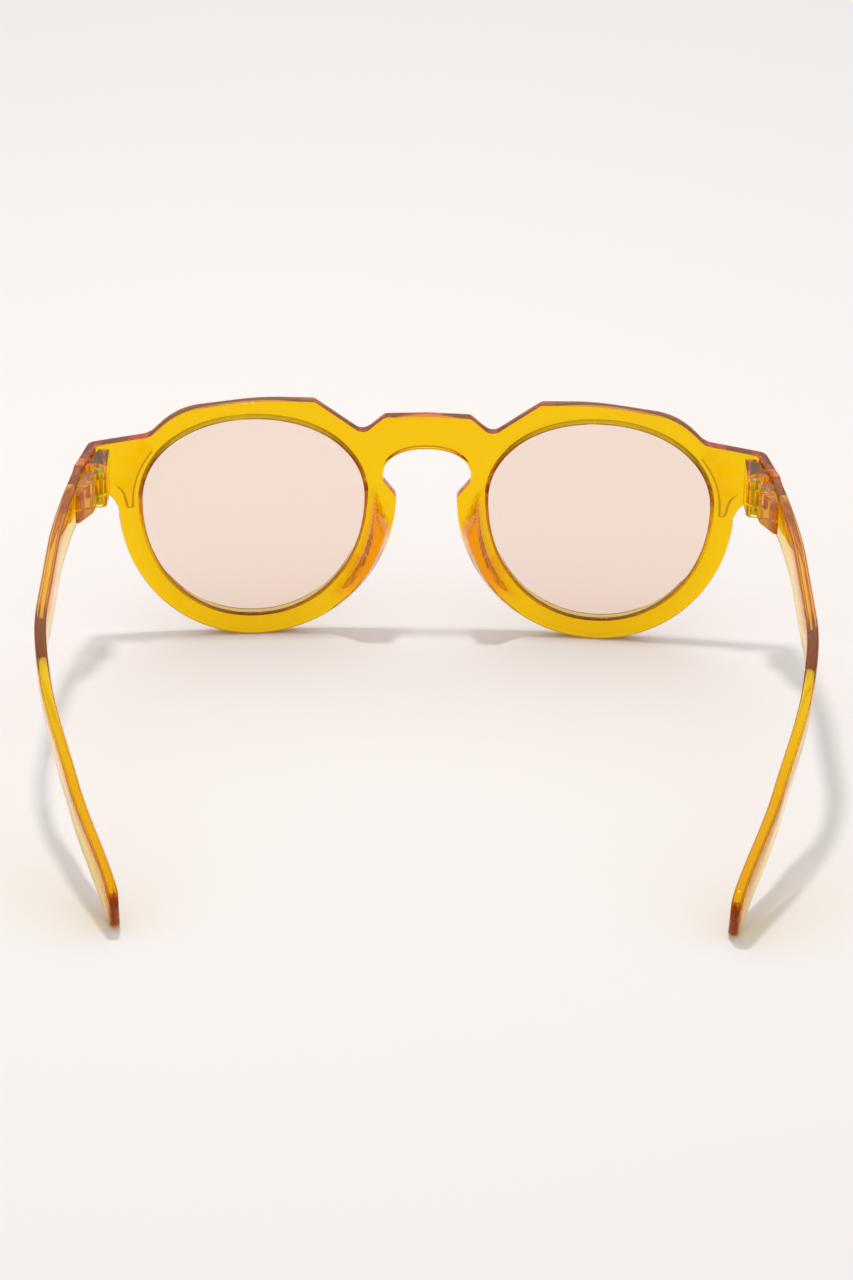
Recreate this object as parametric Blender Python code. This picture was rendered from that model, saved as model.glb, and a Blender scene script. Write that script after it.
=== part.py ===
"""Full-frame sunglasses: a clear amber keyhole front, two pale lenses and two folding temples.

The frame stands on its rim bottoms and temple tips. +X is the wearer's left, the lenses face -Y and
the temples run back along +Y. Lengths are in millimetres until add_object() turns them into metres.

The front is drawn flat, as if it were unrolled: s runs along its front surface from the middle of the
bridge, z is the height, and t is the depth behind the front surface. bend() then wraps it round the
face and turns its ends back at the end pieces.
"""

import math

import bmesh
import bpy
import numpy as np
from mathutils.geometry import delaunay_2d_cdt

MM = 0.001
GAP = 0.3
OVERALL_LENGTH = 146.66

# Front, seen flat
FRONT_THICKNESS = 3.6
EDGE_RADIUS = 0.6
WRAP_RADIUS = 400.0
LENS_CENTRE = (36.8, 31.2)
OPENING_HALF_WIDTH = 23.6
OPENING_ABOVE = 17.4
OPENING_BELOW = 26.3
OPENING_SQUARENESS = 2.08
RIM_CENTRE_HEIGHT = 31.0
RIM_OUTER_HALF_WIDTH = 28.7
RIM_NOSE_HALF_WIDTH = 30.3
KEYHOLE_HALF_WIDTH = 9.4
KEYHOLE_CENTRE_HEIGHT = 36.0
KEYHOLE_TOP = 42.0
KEYHOLE_SQUARENESS = 2.2

# End pieces, where the front turns back towards the temples
CORNER_S = 71.3
CORNER_ROUNDING = 1.3
TURN_START_S = 66.0
SEAM_S = 82.6
SEAM_Y = 17.4
SEAM_OUTER_X = 73.0
SEAM_INNER_X = 71.0
INNER_CORNER = (68.9, 9.4)
INNER_CORNER_ROUNDING = 0.5
SEAM_CRISPNESS = 0.25
SEAM_FADE = 2.5
SEAM_TOP = 42.3
SEAM_BOTTOM = 32.6

# Nose pads, moulded on the back of the rims
PAD_HEIGHT = 4.8
PAD_LENS_SIDE = (1.3, 2.7)
PAD_NOSE_MARGIN = 0.3
PAD_STEEPNESS = 3.2
PAD_BLEND = 0.8
PAD_TOP_FADE = (6.0, -4.0)
PAD_BOTTOM_FADE = (-58.0, -34.0)
PAD_SLANT_TOP = (11.4, 34.0)
PAD_SLANT_BOTTOM = (8.0, 25.5)

# Raised lands behind the end pieces
LAND_HEIGHT = 0.6
LAND_LENS_MARGIN = 2.1
LAND_STEP = 0.12

# Lenses and the groove that holds them
GROOVE_MOUTH = 1.15
GROOVE_FLOOR = 0.45
GROOVE_DEPTH = 0.85
LENS_THICKNESS = 1.8
LENS_DOME = 1.2
LENS_IN_GROOVE = 0.5
LENS_EDGE_HALF = 0.25
LENS_FACE_MARGIN = 0.35

# Temples
TEMPLE_START_Y = SEAM_Y + GAP
TEMPLE_END_Y = 147.7
TEMPLE_LENGTH_SLOPE = 8.5
TEMPLE_TIP_SLOPE = 22.89
TEMPLE_BEND_START_Y = 80.0
TEMPLE_BEND_LENGTH = 30.0
TEMPLE_TIP_ROUNDING = 4.0
TEMPLE_CORNER = 0.75
TEMPLE_CORNER_SHARE = 0.3
TEMPLE_PLAN = ((TEMPLE_START_Y, 72.0, 0.10), (50.0, 74.45, 0.0), (73.0, 74.45, 0.0), (98.0, 71.6, -0.19),
               (122.0, 64.55, -0.30), (TEMPLE_END_Y, 55.15, -0.28))
TEMPLE_HEIGHTS = ((TEMPLE_START_Y, 9.7), (32.0, 8.6), (66.0, 8.7), (96.0, 5.4), (120.0, 9.2), (TEMPLE_END_Y, 10.5))
TEMPLE_THICKNESSES = ((TEMPLE_START_Y, 2.0), (28.0, 2.35), (73.0, 2.35), (110.0, 2.2), (TEMPLE_END_Y, 2.2))
TEMPLE_STATIONS = (20.0, 24.0, 28.0, 32.0, 36.0, 41.0, 46.0, 50.0, 54.0, 58.0, 62.0, 66.0, 70.0, 73.0, 76.5)
TEMPLE_STEP = 4.5
TEMPLE_TIP_SHARES = (0.0, 0.4, 0.75, 0.95, 1.0)
TEMPLE_SETTLING = 10.0
TEMPLE_START_CORNER = 0.15
TIP_FULLNESS = 0.97
TIP_HEIGHT_POWER = 2.6
TIP_THICKNESS_POWER = 3.5

# Hinges
AXIS_X = 68.0
AXIS_Y = SEAM_Y + GAP / 2
KNUCKLE_RADIUS = 1.7
HINGE_BOTTOM = 33.7
HINGE_TOP = 42.1
KNUCKLE_LOW = 36.4
KNUCKLE_HIGH = 39.6
BLOCK_FRONT_Y = 9.9
BLOCK_BACK_Y = 17.35
BLOCK_INNER_X = 66.3
BLOCK_WALL_GAP = 0.33
BLOCK_FRONT_TOP = 43.2
LEAF_START_Y = 19.7
LEAF_END_Y = 30.0
LEAF_INNER_X = 68.3
LEAF_END_THICKNESS = 0.8
LEAF_BOTTOM = 34.2
LEAF_BELOW_TOP = 0.1
LEAF_SHOULDER = (68.6, 23.8)
WEB_INSET = 0.15
WEB_START_DEG = 165
WEB_END_DEG = 375
WEB_REACH = 1.0
SCREW_RADIUS = 0.6
SCREW_HEAD_RADIUS = 0.95
SCREW_BOTTOM = 34.0
SCREW_HEAD_LOW = 41.3
SCREW_HEAD_HIGH = 41.8
SLOT_WIDTH = 0.35
SLOT_DEPTH = 0.25
HINGE_ROUNDING = 0.15
SCREW_ROUNDING = 0.06
ROUNDED_ANGLE_DEG = 40

# Mesh density
OUTLINE_STEP = 3.4
FINE_STEP = 1.5
GRID_STEP = 3.6
OPENING_POINTS = 52
BEVEL_ANGLES = (0.0, 90.0)
SECTION_ANGLES = (0.0, 45.0, 90.0)
ROUND_SIDES = 24
SLIVER_AREA = 1e-4
SAME_PLACE = 1e-6
SHARP_ANGLE_DEG = 35
FACE_MARGIN = 0.95
GRID_MARGIN = 1.45
GRID_TOP = 52.0
GRID_TO_PAD = 1.6
END_AREA_S = 54.0
END_AREA_LOW = 28.0
PAD_ROWS_DEG = (172, 242, 5)
PAD_ROW_SHARES = (0.24, 0.42, 0.58, 0.74, 0.88)
TURN_COLUMNS = (-1.0, -0.4, 0.4, 1.0)
TURN_ROWS = (34.6, 42.4, 5)
LENS_RINGS = (1.0, 0.8, 0.55, 0.28)
CUTTER_EXTRA = 1.0

HALF_LENGTH = OVERALL_LENGTH / 2

AMBER = (0.97, 0.55, 0.01, 1.0)
LENS_TINT = (0.91, 0.78, 0.69, 1.0)
STEEL = (0.62, 0.62, 0.60, 1.0)


# ---------------------------------------------------------------- flat outlines

def smooth_step(value, start, end):
    """0 at start, 1 at end, with a smooth run between them."""
    u = np.clip((value - start) / (end - start), 0.0, 1.0)
    return u * u * (3.0 - 2.0 * u)


def split_segment(start, end):
    """Evenly spaced points from start up to, but without, end: closer together at the end piece."""
    length = math.dist(start, end)
    step = FINE_STEP if min(start[0], end[0]) > LENS_CENTRE[0] + RIM_OUTER_HALF_WIDTH - 1 else OUTLINE_STEP
    count = max(1, math.ceil(length / step))
    return [(start[0] + (end[0] - start[0]) * i / count, start[1] + (end[1] - start[1]) * i / count)
            for i in range(count)]


def fillet(before, corner, after, radius):
    """Points of the arc that rounds a corner."""
    corner = np.array(corner)
    to_before = np.array(before) - corner
    to_after = np.array(after) - corner
    to_before /= np.linalg.norm(to_before)
    to_after /= np.linalg.norm(to_after)
    half_angle = math.acos(np.clip(to_before @ to_after, -1.0, 1.0)) / 2
    reach = radius / math.tan(half_angle)
    bisector = (to_before + to_after) / np.linalg.norm(to_before + to_after)
    centre = corner + bisector * radius / math.sin(half_angle)
    first = corner + to_before * reach - centre
    last = corner + to_after * reach - centre
    sweep = math.atan2(first[0] * last[1] - first[1] * last[0], first @ last)
    count = max(2, math.ceil(abs(sweep) * radius / FINE_STEP))
    points = []
    for i in range(count + 1):
        angle = sweep * i / count
        c, s = math.cos(angle), math.sin(angle)
        points.append((centre[0] + c * first[0] - s * first[1], centre[1] + s * first[0] + c * first[1]))
    return points


def rounded_path(corners):
    """An open path through (s, z, radius) corners, with each inner corner rounded to its radius."""
    path = [corners[0][:2]]
    for i in range(1, len(corners) - 1):
        s, z, radius = corners[i]
        arc = fillet(corners[i - 1][:2], (s, z), corners[i + 1][:2], radius) if radius else [(s, z)]
        path = path[:-1] + split_segment(path[-1], arc[0]) + arc
    return path[:-1] + split_segment(path[-1], corners[-1][:2]) + [corners[-1][:2]]


def ellipse_arc(centre, half_width, half_height, start_deg, end_deg, squareness=2.0):
    """Points of a stretch of an ellipse, or of a squarer one where squareness is over 2."""
    size = math.radians(abs(end_deg - start_deg)) * max(half_width, half_height)
    count = math.ceil(size / OUTLINE_STEP)
    points = []
    for i in range(count + 1):
        angle = math.radians(start_deg + (end_deg - start_deg) * i / count)
        c, s = math.cos(angle), math.sin(angle)
        points.append((centre[0] + half_width * math.copysign(abs(c) ** (2 / squareness), c),
                       centre[1] + half_height * math.copysign(abs(s) ** (2 / squareness), s)))
    return points


def half_outline():
    """The left half of the front's outline, from the top of the bridge outwards and back to its underside."""
    brow = rounded_path([
        (0.0, 49.2, 0), (9.1, 48.9, 1.6), (13.6, 45.1, 2.4), (23.9, 52.3, 1.8), (35.0, 52.65, 60.0),
        (52.5, 50.75, 14.0), (58.6, 45.2, 4.5), (CORNER_S, 43.6, 0), (SEAM_S, SEAM_TOP, 0),
        (SEAM_S, SEAM_BOTTOM, 0), (CORNER_S, 33.2, 0), (65.6, 33.4, 5.0), (65.2, 26.7, 0)])
    rim_centre = (LENS_CENTRE[0], RIM_CENTRE_HEIGHT)
    outer_rim = ellipse_arc(rim_centre, RIM_OUTER_HALF_WIDTH, RIM_CENTRE_HEIGHT, -8, -90)
    nose_rim = ellipse_arc(rim_centre, RIM_NOSE_HALF_WIDTH, RIM_CENTRE_HEIGHT, -90, -177)
    pad_top = rounded_path([nose_rim[-1] + (0,), (6.4, 31.2, 1.0), (9.3, 34.9, 1.5), (9.4, 36.0, 0)])
    arch = ellipse_arc((0.0, KEYHOLE_CENTRE_HEIGHT), KEYHOLE_HALF_WIDTH, KEYHOLE_TOP - KEYHOLE_CENTRE_HEIGHT,
                       0, 90, KEYHOLE_SQUARENESS)
    return brow[:-1] + outer_rim[:-1] + nose_rim[:-1] + pad_top[:-1] + arch


def front_outline():
    """The whole outline as one closed loop."""
    half = np.array(half_outline())
    mirrored = half[-2:0:-1] * (-1, 1)
    return np.vstack([half, mirrored])


def opening_point(angle, grow=0.0):
    """A point on the left lens opening's outline, grown outwards by grow. Angle 0 is away from the nose."""
    c, s = math.cos(angle), math.sin(angle)
    half_height = OPENING_ABOVE if s > 0 else OPENING_BELOW
    power = 2 / OPENING_SQUARENESS
    return (LENS_CENTRE[0] + (OPENING_HALF_WIDTH + grow) * math.copysign(abs(c) ** power, c),
            LENS_CENTRE[1] + (half_height + grow) * math.copysign(abs(s) ** power, s))


def opening_outline(side, grow=0.0):
    """The outline of the lens opening on side +1 (left) or -1 (right), as one closed loop."""
    angles = [2 * math.pi * i / OPENING_POINTS for i in range(OPENING_POINTS)]
    loop = np.array([opening_point(angle, grow) for angle in angles])
    loop[:, 0] *= side
    return loop[::side]


# ---------------------------------------------------------------- thickness of the front

def distance_to(points, loop):
    """The distance of each point to a closed loop."""
    start = loop[None, :, :]
    along = np.roll(loop, -1, axis=0)[None, :, :] - start
    offset = points[:, None, :] - start
    u = np.clip((offset * along).sum(2) / (along * along).sum(2), 0.0, 1.0)
    return np.sqrt(((offset - u[:, :, None] * along) ** 2).sum(2)).min(1)


def inside(points, loop):
    """True for each point inside a closed loop."""
    x, z = points[:, 0][:, None], points[:, 1][:, None]
    x1, z1 = loop[:, 0][None], loop[:, 1][None]
    x2, z2 = np.roll(loop[:, 0], -1)[None], np.roll(loop[:, 1], -1)[None]
    crosses = (z1 > z) != (z2 > z)
    rise = np.where(z2 == z1, 1.0, z2 - z1)
    return (crosses & (x < (x2 - x1) * (z - z1) / rise + x1)).sum(1) % 2 == 1


def back_thickness(points, outline):
    """Depth of the back surface behind the front surface: thicker at the nose pads, whose tops slant."""
    mirrored = np.column_stack([np.abs(points[:, 0]), points[:, 1]])
    from_centre = mirrored - LENS_CENTRE
    angle = np.degrees(np.arctan2(from_centre[:, 1], -from_centre[:, 0]))
    crest = smooth_step(angle, *PAD_TOP_FADE) * smooth_step(angle, *PAD_BOTTOM_FADE)
    ridge = PAD_HEIGHT * crest * smooth_step(distance_to(mirrored, opening_outline(1)), *PAD_LENS_SIDE)
    slant = np.array(PAD_SLANT_BOTTOM) - PAD_SLANT_TOP
    across = np.array([-slant[1], slant[0]]) / np.linalg.norm(slant)
    from_slant = (mirrored - PAD_SLANT_TOP) @ across
    from_edge = distance_to(points, outline) - PAD_NOSE_MARGIN
    nose_side = PAD_STEEPNESS * np.clip(np.minimum(from_slant, from_edge), 0.0, None)
    soft = np.clip(0.5 + 0.5 * (ridge - nose_side) / PAD_BLEND, 0.0, 1.0)
    blended = ridge + (nose_side - ridge) * soft - PAD_BLEND * soft * (1 - soft)
    return FRONT_THICKNESS + np.clip(np.minimum(blended, ridge), 0.0, None)


def land_lines(side):
    """The two sides of the raised land's step: the low line and the high line."""
    lens_side = [opening_point(math.radians(angle), LAND_LENS_MARGIN) for angle in range(36, -3, -6)]
    tip_side = [(63.6, 30.5), (64.1, 32.6), (65.2, 34.6), (67.2, 35.8)]
    line = np.array(lens_side + tip_side)
    along = np.gradient(line, axis=0)
    normal = np.column_stack([-along[:, 1], along[:, 0]]) / np.linalg.norm(along, axis=1)[:, None]
    low = line - normal * LAND_STEP
    high = line + normal * LAND_STEP
    return low * (side, 1), high * (side, 1)


def land_height(line):
    """Height of the raised land along its line: it fades out at both ends."""
    share = np.linspace(0.0, 1.0, len(line))
    return LAND_HEIGHT * smooth_step(share, 0.0, 0.15) * smooth_step(share, 1.0, 0.85)


# ---------------------------------------------------------------- bending

def wrap(s, t):
    """A flat point on the wrapped part of the front, in plan."""
    angle = s / WRAP_RADIUS
    radius = WRAP_RADIUS - t
    return np.stack([radius * np.sin(angle), WRAP_RADIUS - radius * np.cos(angle)], axis=-1)


def turned_path(s, start, corner, end, rounding):
    """A plan path from start round a corner to end, by its share of the flat length s."""
    first = start + (corner - start) * ((s - TURN_START_S) / (CORNER_S - TURN_START_S))[:, None]
    second = corner + (end - corner) * ((s - CORNER_S) / (SEAM_S - CORNER_S))[:, None]
    before = start + (corner - start) * (1 - rounding / (CORNER_S - TURN_START_S))
    after = corner + (end - corner) * (rounding / (SEAM_S - CORNER_S))
    u = np.clip((s - CORNER_S + rounding) / (2 * rounding), 0.0, 1.0)[:, None]
    curve = (1 - u) ** 2 * before + 2 * u * (1 - u) * corner + u ** 2 * after
    path = np.where((s < CORNER_S)[:, None], first, second)
    return np.where((np.abs(s - CORNER_S) < rounding)[:, None], curve, path)


def bend(flat):
    """Flat (s, z, t) points to their places in space."""
    s, z, t = np.abs(flat[:, 0]), flat[:, 1], flat[:, 2]
    side = np.where(flat[:, 0] < 0, -1.0, 1.0)
    plan = wrap(s, t)
    start = wrap(np.array(TURN_START_S), np.array([0.0, FRONT_THICKNESS]))
    outer = turned_path(s, start[0], wrap(CORNER_S, 0.0), np.array([SEAM_OUTER_X, SEAM_Y]), CORNER_ROUNDING)
    inner = turned_path(s, start[1], np.array(INNER_CORNER), np.array([SEAM_INNER_X, SEAM_Y]),
                        INNER_CORNER_ROUNDING)
    turned = outer + (inner - outer) * (t / FRONT_THICKNESS)[:, None]
    plan = np.where((s > TURN_START_S)[:, None], turned, plan)
    return np.column_stack([plan[:, 0] * side, plan[:, 1], z])


# ---------------------------------------------------------------- mesh building

class FlatMesh:
    """Points given flat, as (s, z, t), and the faces between them."""

    def __init__(self):
        self.points = []
        self.faces = []

    def add(self, plan_points, depths):
        """Adds points and returns their numbers."""
        first = len(self.points)
        self.points += [(s, z, t) for (s, z), t in zip(plan_points, depths)]
        return list(range(first, len(self.points)))

    def join_rings(self, ring_a, ring_b):
        """Quads between two closed rings with as many points each."""
        count = len(ring_a)
        for i in range(count):
            j = (i + 1) % count
            self.faces.append((ring_a[i], ring_a[j], ring_b[j], ring_b[i]))


def inset(loop, distance, towards_left):
    """The loop moved sideways by distance, to the left of its direction or to the right."""
    forward = np.roll(loop, -1, axis=0) - loop
    forward /= np.linalg.norm(forward, axis=1)[:, None]
    backward = np.roll(forward, 1, axis=0)
    normals = np.column_stack([-forward[:, 1], forward[:, 0]]) + np.column_stack([-backward[:, 1], backward[:, 0]])
    scale = 1 + (forward * backward).sum(1)
    move = normals / scale[:, None] * (1 if towards_left else -1)
    return loop + move * np.broadcast_to(distance, len(loop))[:, None]


def edge_radius(loop):
    """Rounding of the front's edges: full everywhere but at the seams, which are crisp."""
    return EDGE_RADIUS * np.clip((SEAM_S - np.abs(loop[:, 0])) / SEAM_FADE, SEAM_CRISPNESS, 1.0)


def is_left_turning(loop):
    following = np.roll(loop, -1, axis=0)
    return (loop[:, 0] * following[:, 1] - following[:, 0] * loop[:, 1]).sum() > 0


def rounded_wall(mesh, loop, material_on_left, outline, wall_points):
    """The rounded edges and the wall between them. Returns the rings that bound the back and front faces."""
    radius = edge_radius(loop)
    rings = []
    for angle in reversed(BEVEL_ANGLES):
        turn = math.radians(angle)
        ring = inset(loop, radius * (1 - math.cos(turn)), material_on_left)
        depth = back_thickness(ring, outline) - radius * (1 - math.sin(turn))
        rings.append(mesh.add(ring, depth))
    for deeper, depth in wall_points:
        ring = inset(loop, deeper, material_on_left)
        rings.append(mesh.add(ring, np.full(len(loop), depth)))
    for angle in BEVEL_ANGLES:
        turn = math.radians(angle)
        ring = inset(loop, radius * (1 - math.cos(turn)), material_on_left)
        rings.append(mesh.add(ring, radius * (1 - math.sin(turn))))
    for ring_a, ring_b in zip(rings, rings[1:]):
        mesh.join_rings(ring_a, ring_b)
    return rings[0], rings[-1]


def fill_face(mesh, boundary_rings, extra, extra_edges):
    """Triangles inside the first boundary ring and outside the others, through the extra points."""
    numbers = [n for ring in boundary_rings for n in ring] + extra
    flat = [mesh.points[n][:2] for n in numbers]
    place = {n: i for i, n in enumerate(numbers)}
    edges = [(place[ring[i]], place[ring[(i + 1) % len(ring)]]) for ring in boundary_rings
             for i in range(len(ring))]
    edges += [(place[a], place[b]) for a, b in extra_edges]
    result = delaunay_2d_cdt(flat, edges, [], 0, SAME_PLACE)
    triangles, sources = result[2], result[3]
    corners = np.array([[result[0][i] for i in face] for face in triangles])
    centres = corners.mean(axis=1)
    side_a, side_b = corners[:, 1] - corners[:, 0], corners[:, 2] - corners[:, 0]
    areas = np.abs(side_a[:, 0] * side_b[:, 1] - side_a[:, 1] * side_b[:, 0]) / 2
    loops = [np.array([mesh.points[n][:2] for n in ring]) for ring in boundary_rings]
    keep = inside(centres, loops[0]) & (areas > SLIVER_AREA)
    for loop in loops[1:]:
        keep &= ~inside(centres, loop)
    for face, kept in zip(triangles, keep):
        if kept:
            mesh.faces.append(tuple(numbers[sources[i][0]] for i in face))


def clear_points(candidates, loops, outer_loop, hole_loops, margin):
    """The candidates that lie in the front's material, at least margin from every loop."""
    candidates = np.array(candidates)
    keep = inside(candidates, outer_loop)
    for loop in hole_loops:
        keep &= ~inside(candidates, loop)
    for loop in loops:
        keep &= distance_to(candidates, loop) > margin
    return candidates[keep]


def grid_points():
    """A plain grid over the front, without the areas of the lands and the end pieces."""
    columns = np.arange(-TURN_START_S, TURN_START_S, GRID_STEP)
    rows = np.arange(GRID_STEP / 2, GRID_TOP, GRID_STEP)
    return [(s, z) for s in columns for z in rows if abs(s) < END_AREA_S or z < END_AREA_LOW]


def pad_points():
    """Points over the nose pads, in rows from the lens opening to the nose side of the rim."""
    points = []
    for degrees in range(*PAD_ROWS_DEG):
        angle = math.radians(degrees)
        start = np.array(opening_point(angle))
        end = np.array([LENS_CENTRE[0] + RIM_NOSE_HALF_WIDTH * math.cos(angle),
                        RIM_CENTRE_HEIGHT + RIM_CENTRE_HEIGHT * math.sin(angle)])
        for share in PAD_ROW_SHARES:
            s, z = start + (end - start) * share
            points += [(s, z), (-s, z)]
    return points


def turn_points():
    """Columns of points where the front turns back at the end pieces."""
    columns = [CORNER_S + CORNER_ROUNDING * share for share in TURN_COLUMNS] + [TURN_START_S]
    return [(side * s, z) for s in columns for z in np.linspace(*TURN_ROWS) for side in (-1, 1)]


def front_points():
    """Points and faces of the whole front."""
    mesh = FlatMesh()
    outline = front_outline()
    holes = [opening_outline(1), opening_outline(-1)]
    groove = ((0.0, FRONT_THICKNESS / 2 + GROOVE_MOUTH), (GROOVE_DEPTH, FRONT_THICKNESS / 2 + GROOVE_FLOOR),
              (GROOVE_DEPTH, FRONT_THICKNESS / 2 - GROOVE_FLOOR), (0.0, FRONT_THICKNESS / 2 - GROOVE_MOUTH))
    back_rings, front_rings = [], []
    for loop, on_left, wall in [(outline, is_left_turning(outline), ())] + [
            (hole, not is_left_turning(hole), groove) for hole in holes]:
        back, front = rounded_wall(mesh, loop, on_left, outline, wall)
        back_rings.append(back)
        front_rings.append(front)
    loops = [outline] + holes
    lines = [line for side in (1, -1) for line in land_lines(side)]
    pads = clear_points(pad_points(), loops, outline, holes, FACE_MARGIN)
    spread = clear_points(grid_points(), loops, outline, holes, GRID_MARGIN)
    spread = np.array([p for p in spread if np.linalg.norm(pads - p, axis=1).min() > GRID_TO_PAD])
    turns = clear_points(turn_points(), loops, outline, holes, LAND_STEP)
    shared = np.vstack([spread, turns])
    back_extra = np.vstack([shared, pads])
    extra = mesh.add(back_extra, back_thickness(back_extra, outline))
    extra_edges = []
    for i, line in enumerate(lines):
        raised = land_height(line) if i % 2 else 0.0
        numbers = mesh.add(line, FRONT_THICKNESS + raised * np.ones(len(line)))
        extra += numbers
        extra_edges += list(zip(numbers, numbers[1:]))
    fill_face(mesh, back_rings, extra, extra_edges)
    fill_face(mesh, front_rings, mesh.add(shared, np.zeros(len(shared))), [])
    return bend(np.array(mesh.points)), mesh.faces


def lens_points(side):
    """Points and faces of one lens: a domed disc with a ridge round its edge that sits in the groove."""
    mesh = FlatMesh()
    middle = FRONT_THICKNESS / 2
    centre = np.array([side * LENS_CENTRE[0], LENS_CENTRE[1]])
    face = opening_outline(side, -LENS_FACE_MARGIN)
    front, back = [], []
    for half, rings in ((-LENS_THICKNESS / 2, front), (LENS_THICKNESS / 2, back)):
        for share in LENS_RINGS:
            depth = middle + half - LENS_DOME * (1 - share ** 2)
            rings.append(mesh.add(centre + (face - centre) * share, np.full(len(face), depth)))
    ridge = opening_outline(side, LENS_IN_GROOVE)
    edge = [mesh.add(ridge, np.full(len(ridge), middle + half)) for half in (-LENS_EDGE_HALF, LENS_EDGE_HALF)]
    rings = front[::-1] + edge + back
    for ring_a, ring_b in zip(rings, rings[1:]):
        mesh.join_rings(ring_a, ring_b)
    for ring, half in ((rings[0], -LENS_THICKNESS / 2), (rings[-1], LENS_THICKNESS / 2)):
        pole = mesh.add([centre], [middle + half - LENS_DOME])[0]
        for i, number in enumerate(ring):
            mesh.faces.append((number, ring[(i + 1) % len(ring)], pole))
    return bend(np.array(mesh.points)), mesh.faces


# ---------------------------------------------------------------- temples

def between(table, y):
    """The value at y of a table of (y, value) rows, with smooth runs between them."""
    for (y_a, value_a), (y_b, value_b) in zip(table, table[1:]):
        if y <= y_b:
            return value_a + (value_b - value_a) * float(smooth_step(y, y_a, y_b))
    return table[-1][1]


def temple_plan(y):
    """How far the temple's middle is from the symmetry plane at y, and its slope there."""
    for (y_a, x_a, slope_a), (y_b, x_b, slope_b) in zip(TEMPLE_PLAN, TEMPLE_PLAN[1:]):
        if y <= y_b:
            break
    length = y_b - y_a
    u = (y - y_a) / length
    x = ((2 * u ** 3 - 3 * u ** 2 + 1) * x_a + (u ** 3 - 2 * u ** 2 + u) * length * slope_a
         + (3 * u ** 2 - 2 * u ** 3) * x_b + (u ** 3 - u ** 2) * length * slope_b)
    slope = ((6 * u ** 2 - 6 * u) * (x_a - x_b) / length + (3 * u ** 2 - 4 * u + 1) * slope_a
             + (3 * u ** 2 - 2 * u) * slope_b)
    return x, slope


def temple_top(y):
    """Height of the temple's top edge at y, and how steeply it falls there."""
    slope = math.tan(math.radians(TEMPLE_LENGTH_SLOPE))
    extra = math.tan(math.radians(TEMPLE_TIP_SLOPE)) - slope
    past = min(max(y - TEMPLE_BEND_START_Y, 0.0), TEMPLE_BEND_LENGTH)
    beyond = max(y - TEMPLE_BEND_START_Y - TEMPLE_BEND_LENGTH, 0.0)
    drop = extra * (past ** 2 / (2 * TEMPLE_BEND_LENGTH) + beyond)
    height = SEAM_TOP - slope * (y - TEMPLE_START_Y) - drop
    return height, slope + extra * past / TEMPLE_BEND_LENGTH


def rounded_section(height, thickness, corner):
    """A rounded rectangle as (across, up) points."""
    points = []
    for sign_a, sign_u, start in ((1, 1, 0), (-1, 1, 90), (-1, -1, 180), (1, -1, 270)):
        for angle in SECTION_ANGLES:
            turn = math.radians(start + angle)
            points.append((sign_a * (thickness / 2 - corner) + corner * math.cos(turn),
                           sign_u * (height / 2 - corner) + corner * math.sin(turn)))
    return points


def temple_points(side):
    """Points and faces of one temple: rounded sections along its path, with a rounded tip."""
    first_of_tip = TEMPLE_END_Y - TEMPLE_TIP_ROUNDING
    stations = [TEMPLE_START_Y, *TEMPLE_STATIONS, *np.arange(TEMPLE_BEND_START_Y, first_of_tip, TEMPLE_STEP)]
    stations += [first_of_tip + TEMPLE_TIP_ROUNDING * share for share in TEMPLE_TIP_SHARES]
    points, faces, size = [], [], 4 * len(SECTION_ANGLES)
    for y in stations:
        x, plan_slope = temple_plan(y)
        top, fall = temple_top(y)
        tip = max(0.0, (y - first_of_tip) / TEMPLE_TIP_ROUNDING) * TIP_FULLNESS
        height = between(TEMPLE_HEIGHTS, y)
        thickness = between(TEMPLE_THICKNESSES, y)
        settled = float(smooth_step(y, TEMPLE_START_Y, TEMPLE_START_Y + TEMPLE_SETTLING))
        tilt = math.atan(fall) * settled
        lean = math.atan(plan_slope) * settled
        up = np.array([0.0, math.sin(tilt), math.cos(tilt)])
        across = np.array([math.cos(lean), -math.sin(lean), 0.0])
        middle = np.array([x, y, top]) - up * height / 2
        height *= (1 - tip ** TIP_HEIGHT_POWER) ** (1 / TIP_HEIGHT_POWER)
        thickness *= (1 - tip ** TIP_THICKNESS_POWER) ** (1 / TIP_THICKNESS_POWER)
        corner = min(TEMPLE_CORNER, thickness * TEMPLE_CORNER_SHARE) if y > TEMPLE_START_Y else TEMPLE_START_CORNER
        first = len(points)
        points += [middle + across * a + up * u for a, u in rounded_section(height, thickness, corner)]
        if first:
            for i in range(size):
                j = (i + 1) % size
                faces.append((first + i, first + j, first - size + j, first - size + i))
    faces += [tuple(range(size)), tuple(range(len(points) - size, len(points)))]
    return np.array(points) * (side, 1, 1), faces


# ---------------------------------------------------------------- objects

def clear_scene():
    for old in list(bpy.data.objects):
        bpy.data.objects.remove(old, do_unlink=True)


def make_material(name, colour, roughness, metallic=0.0, transmission=0.0):
    material = bpy.data.materials.new(name)
    material.use_nodes = True
    shader = material.node_tree.nodes["Principled BSDF"]
    shader.inputs["Base Color"].default_value = colour
    shader.inputs["Roughness"].default_value = roughness
    shader.inputs["Metallic"].default_value = metallic
    shader.inputs["Transmission Weight"].default_value = transmission
    material.diffuse_color = colour
    return material


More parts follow.
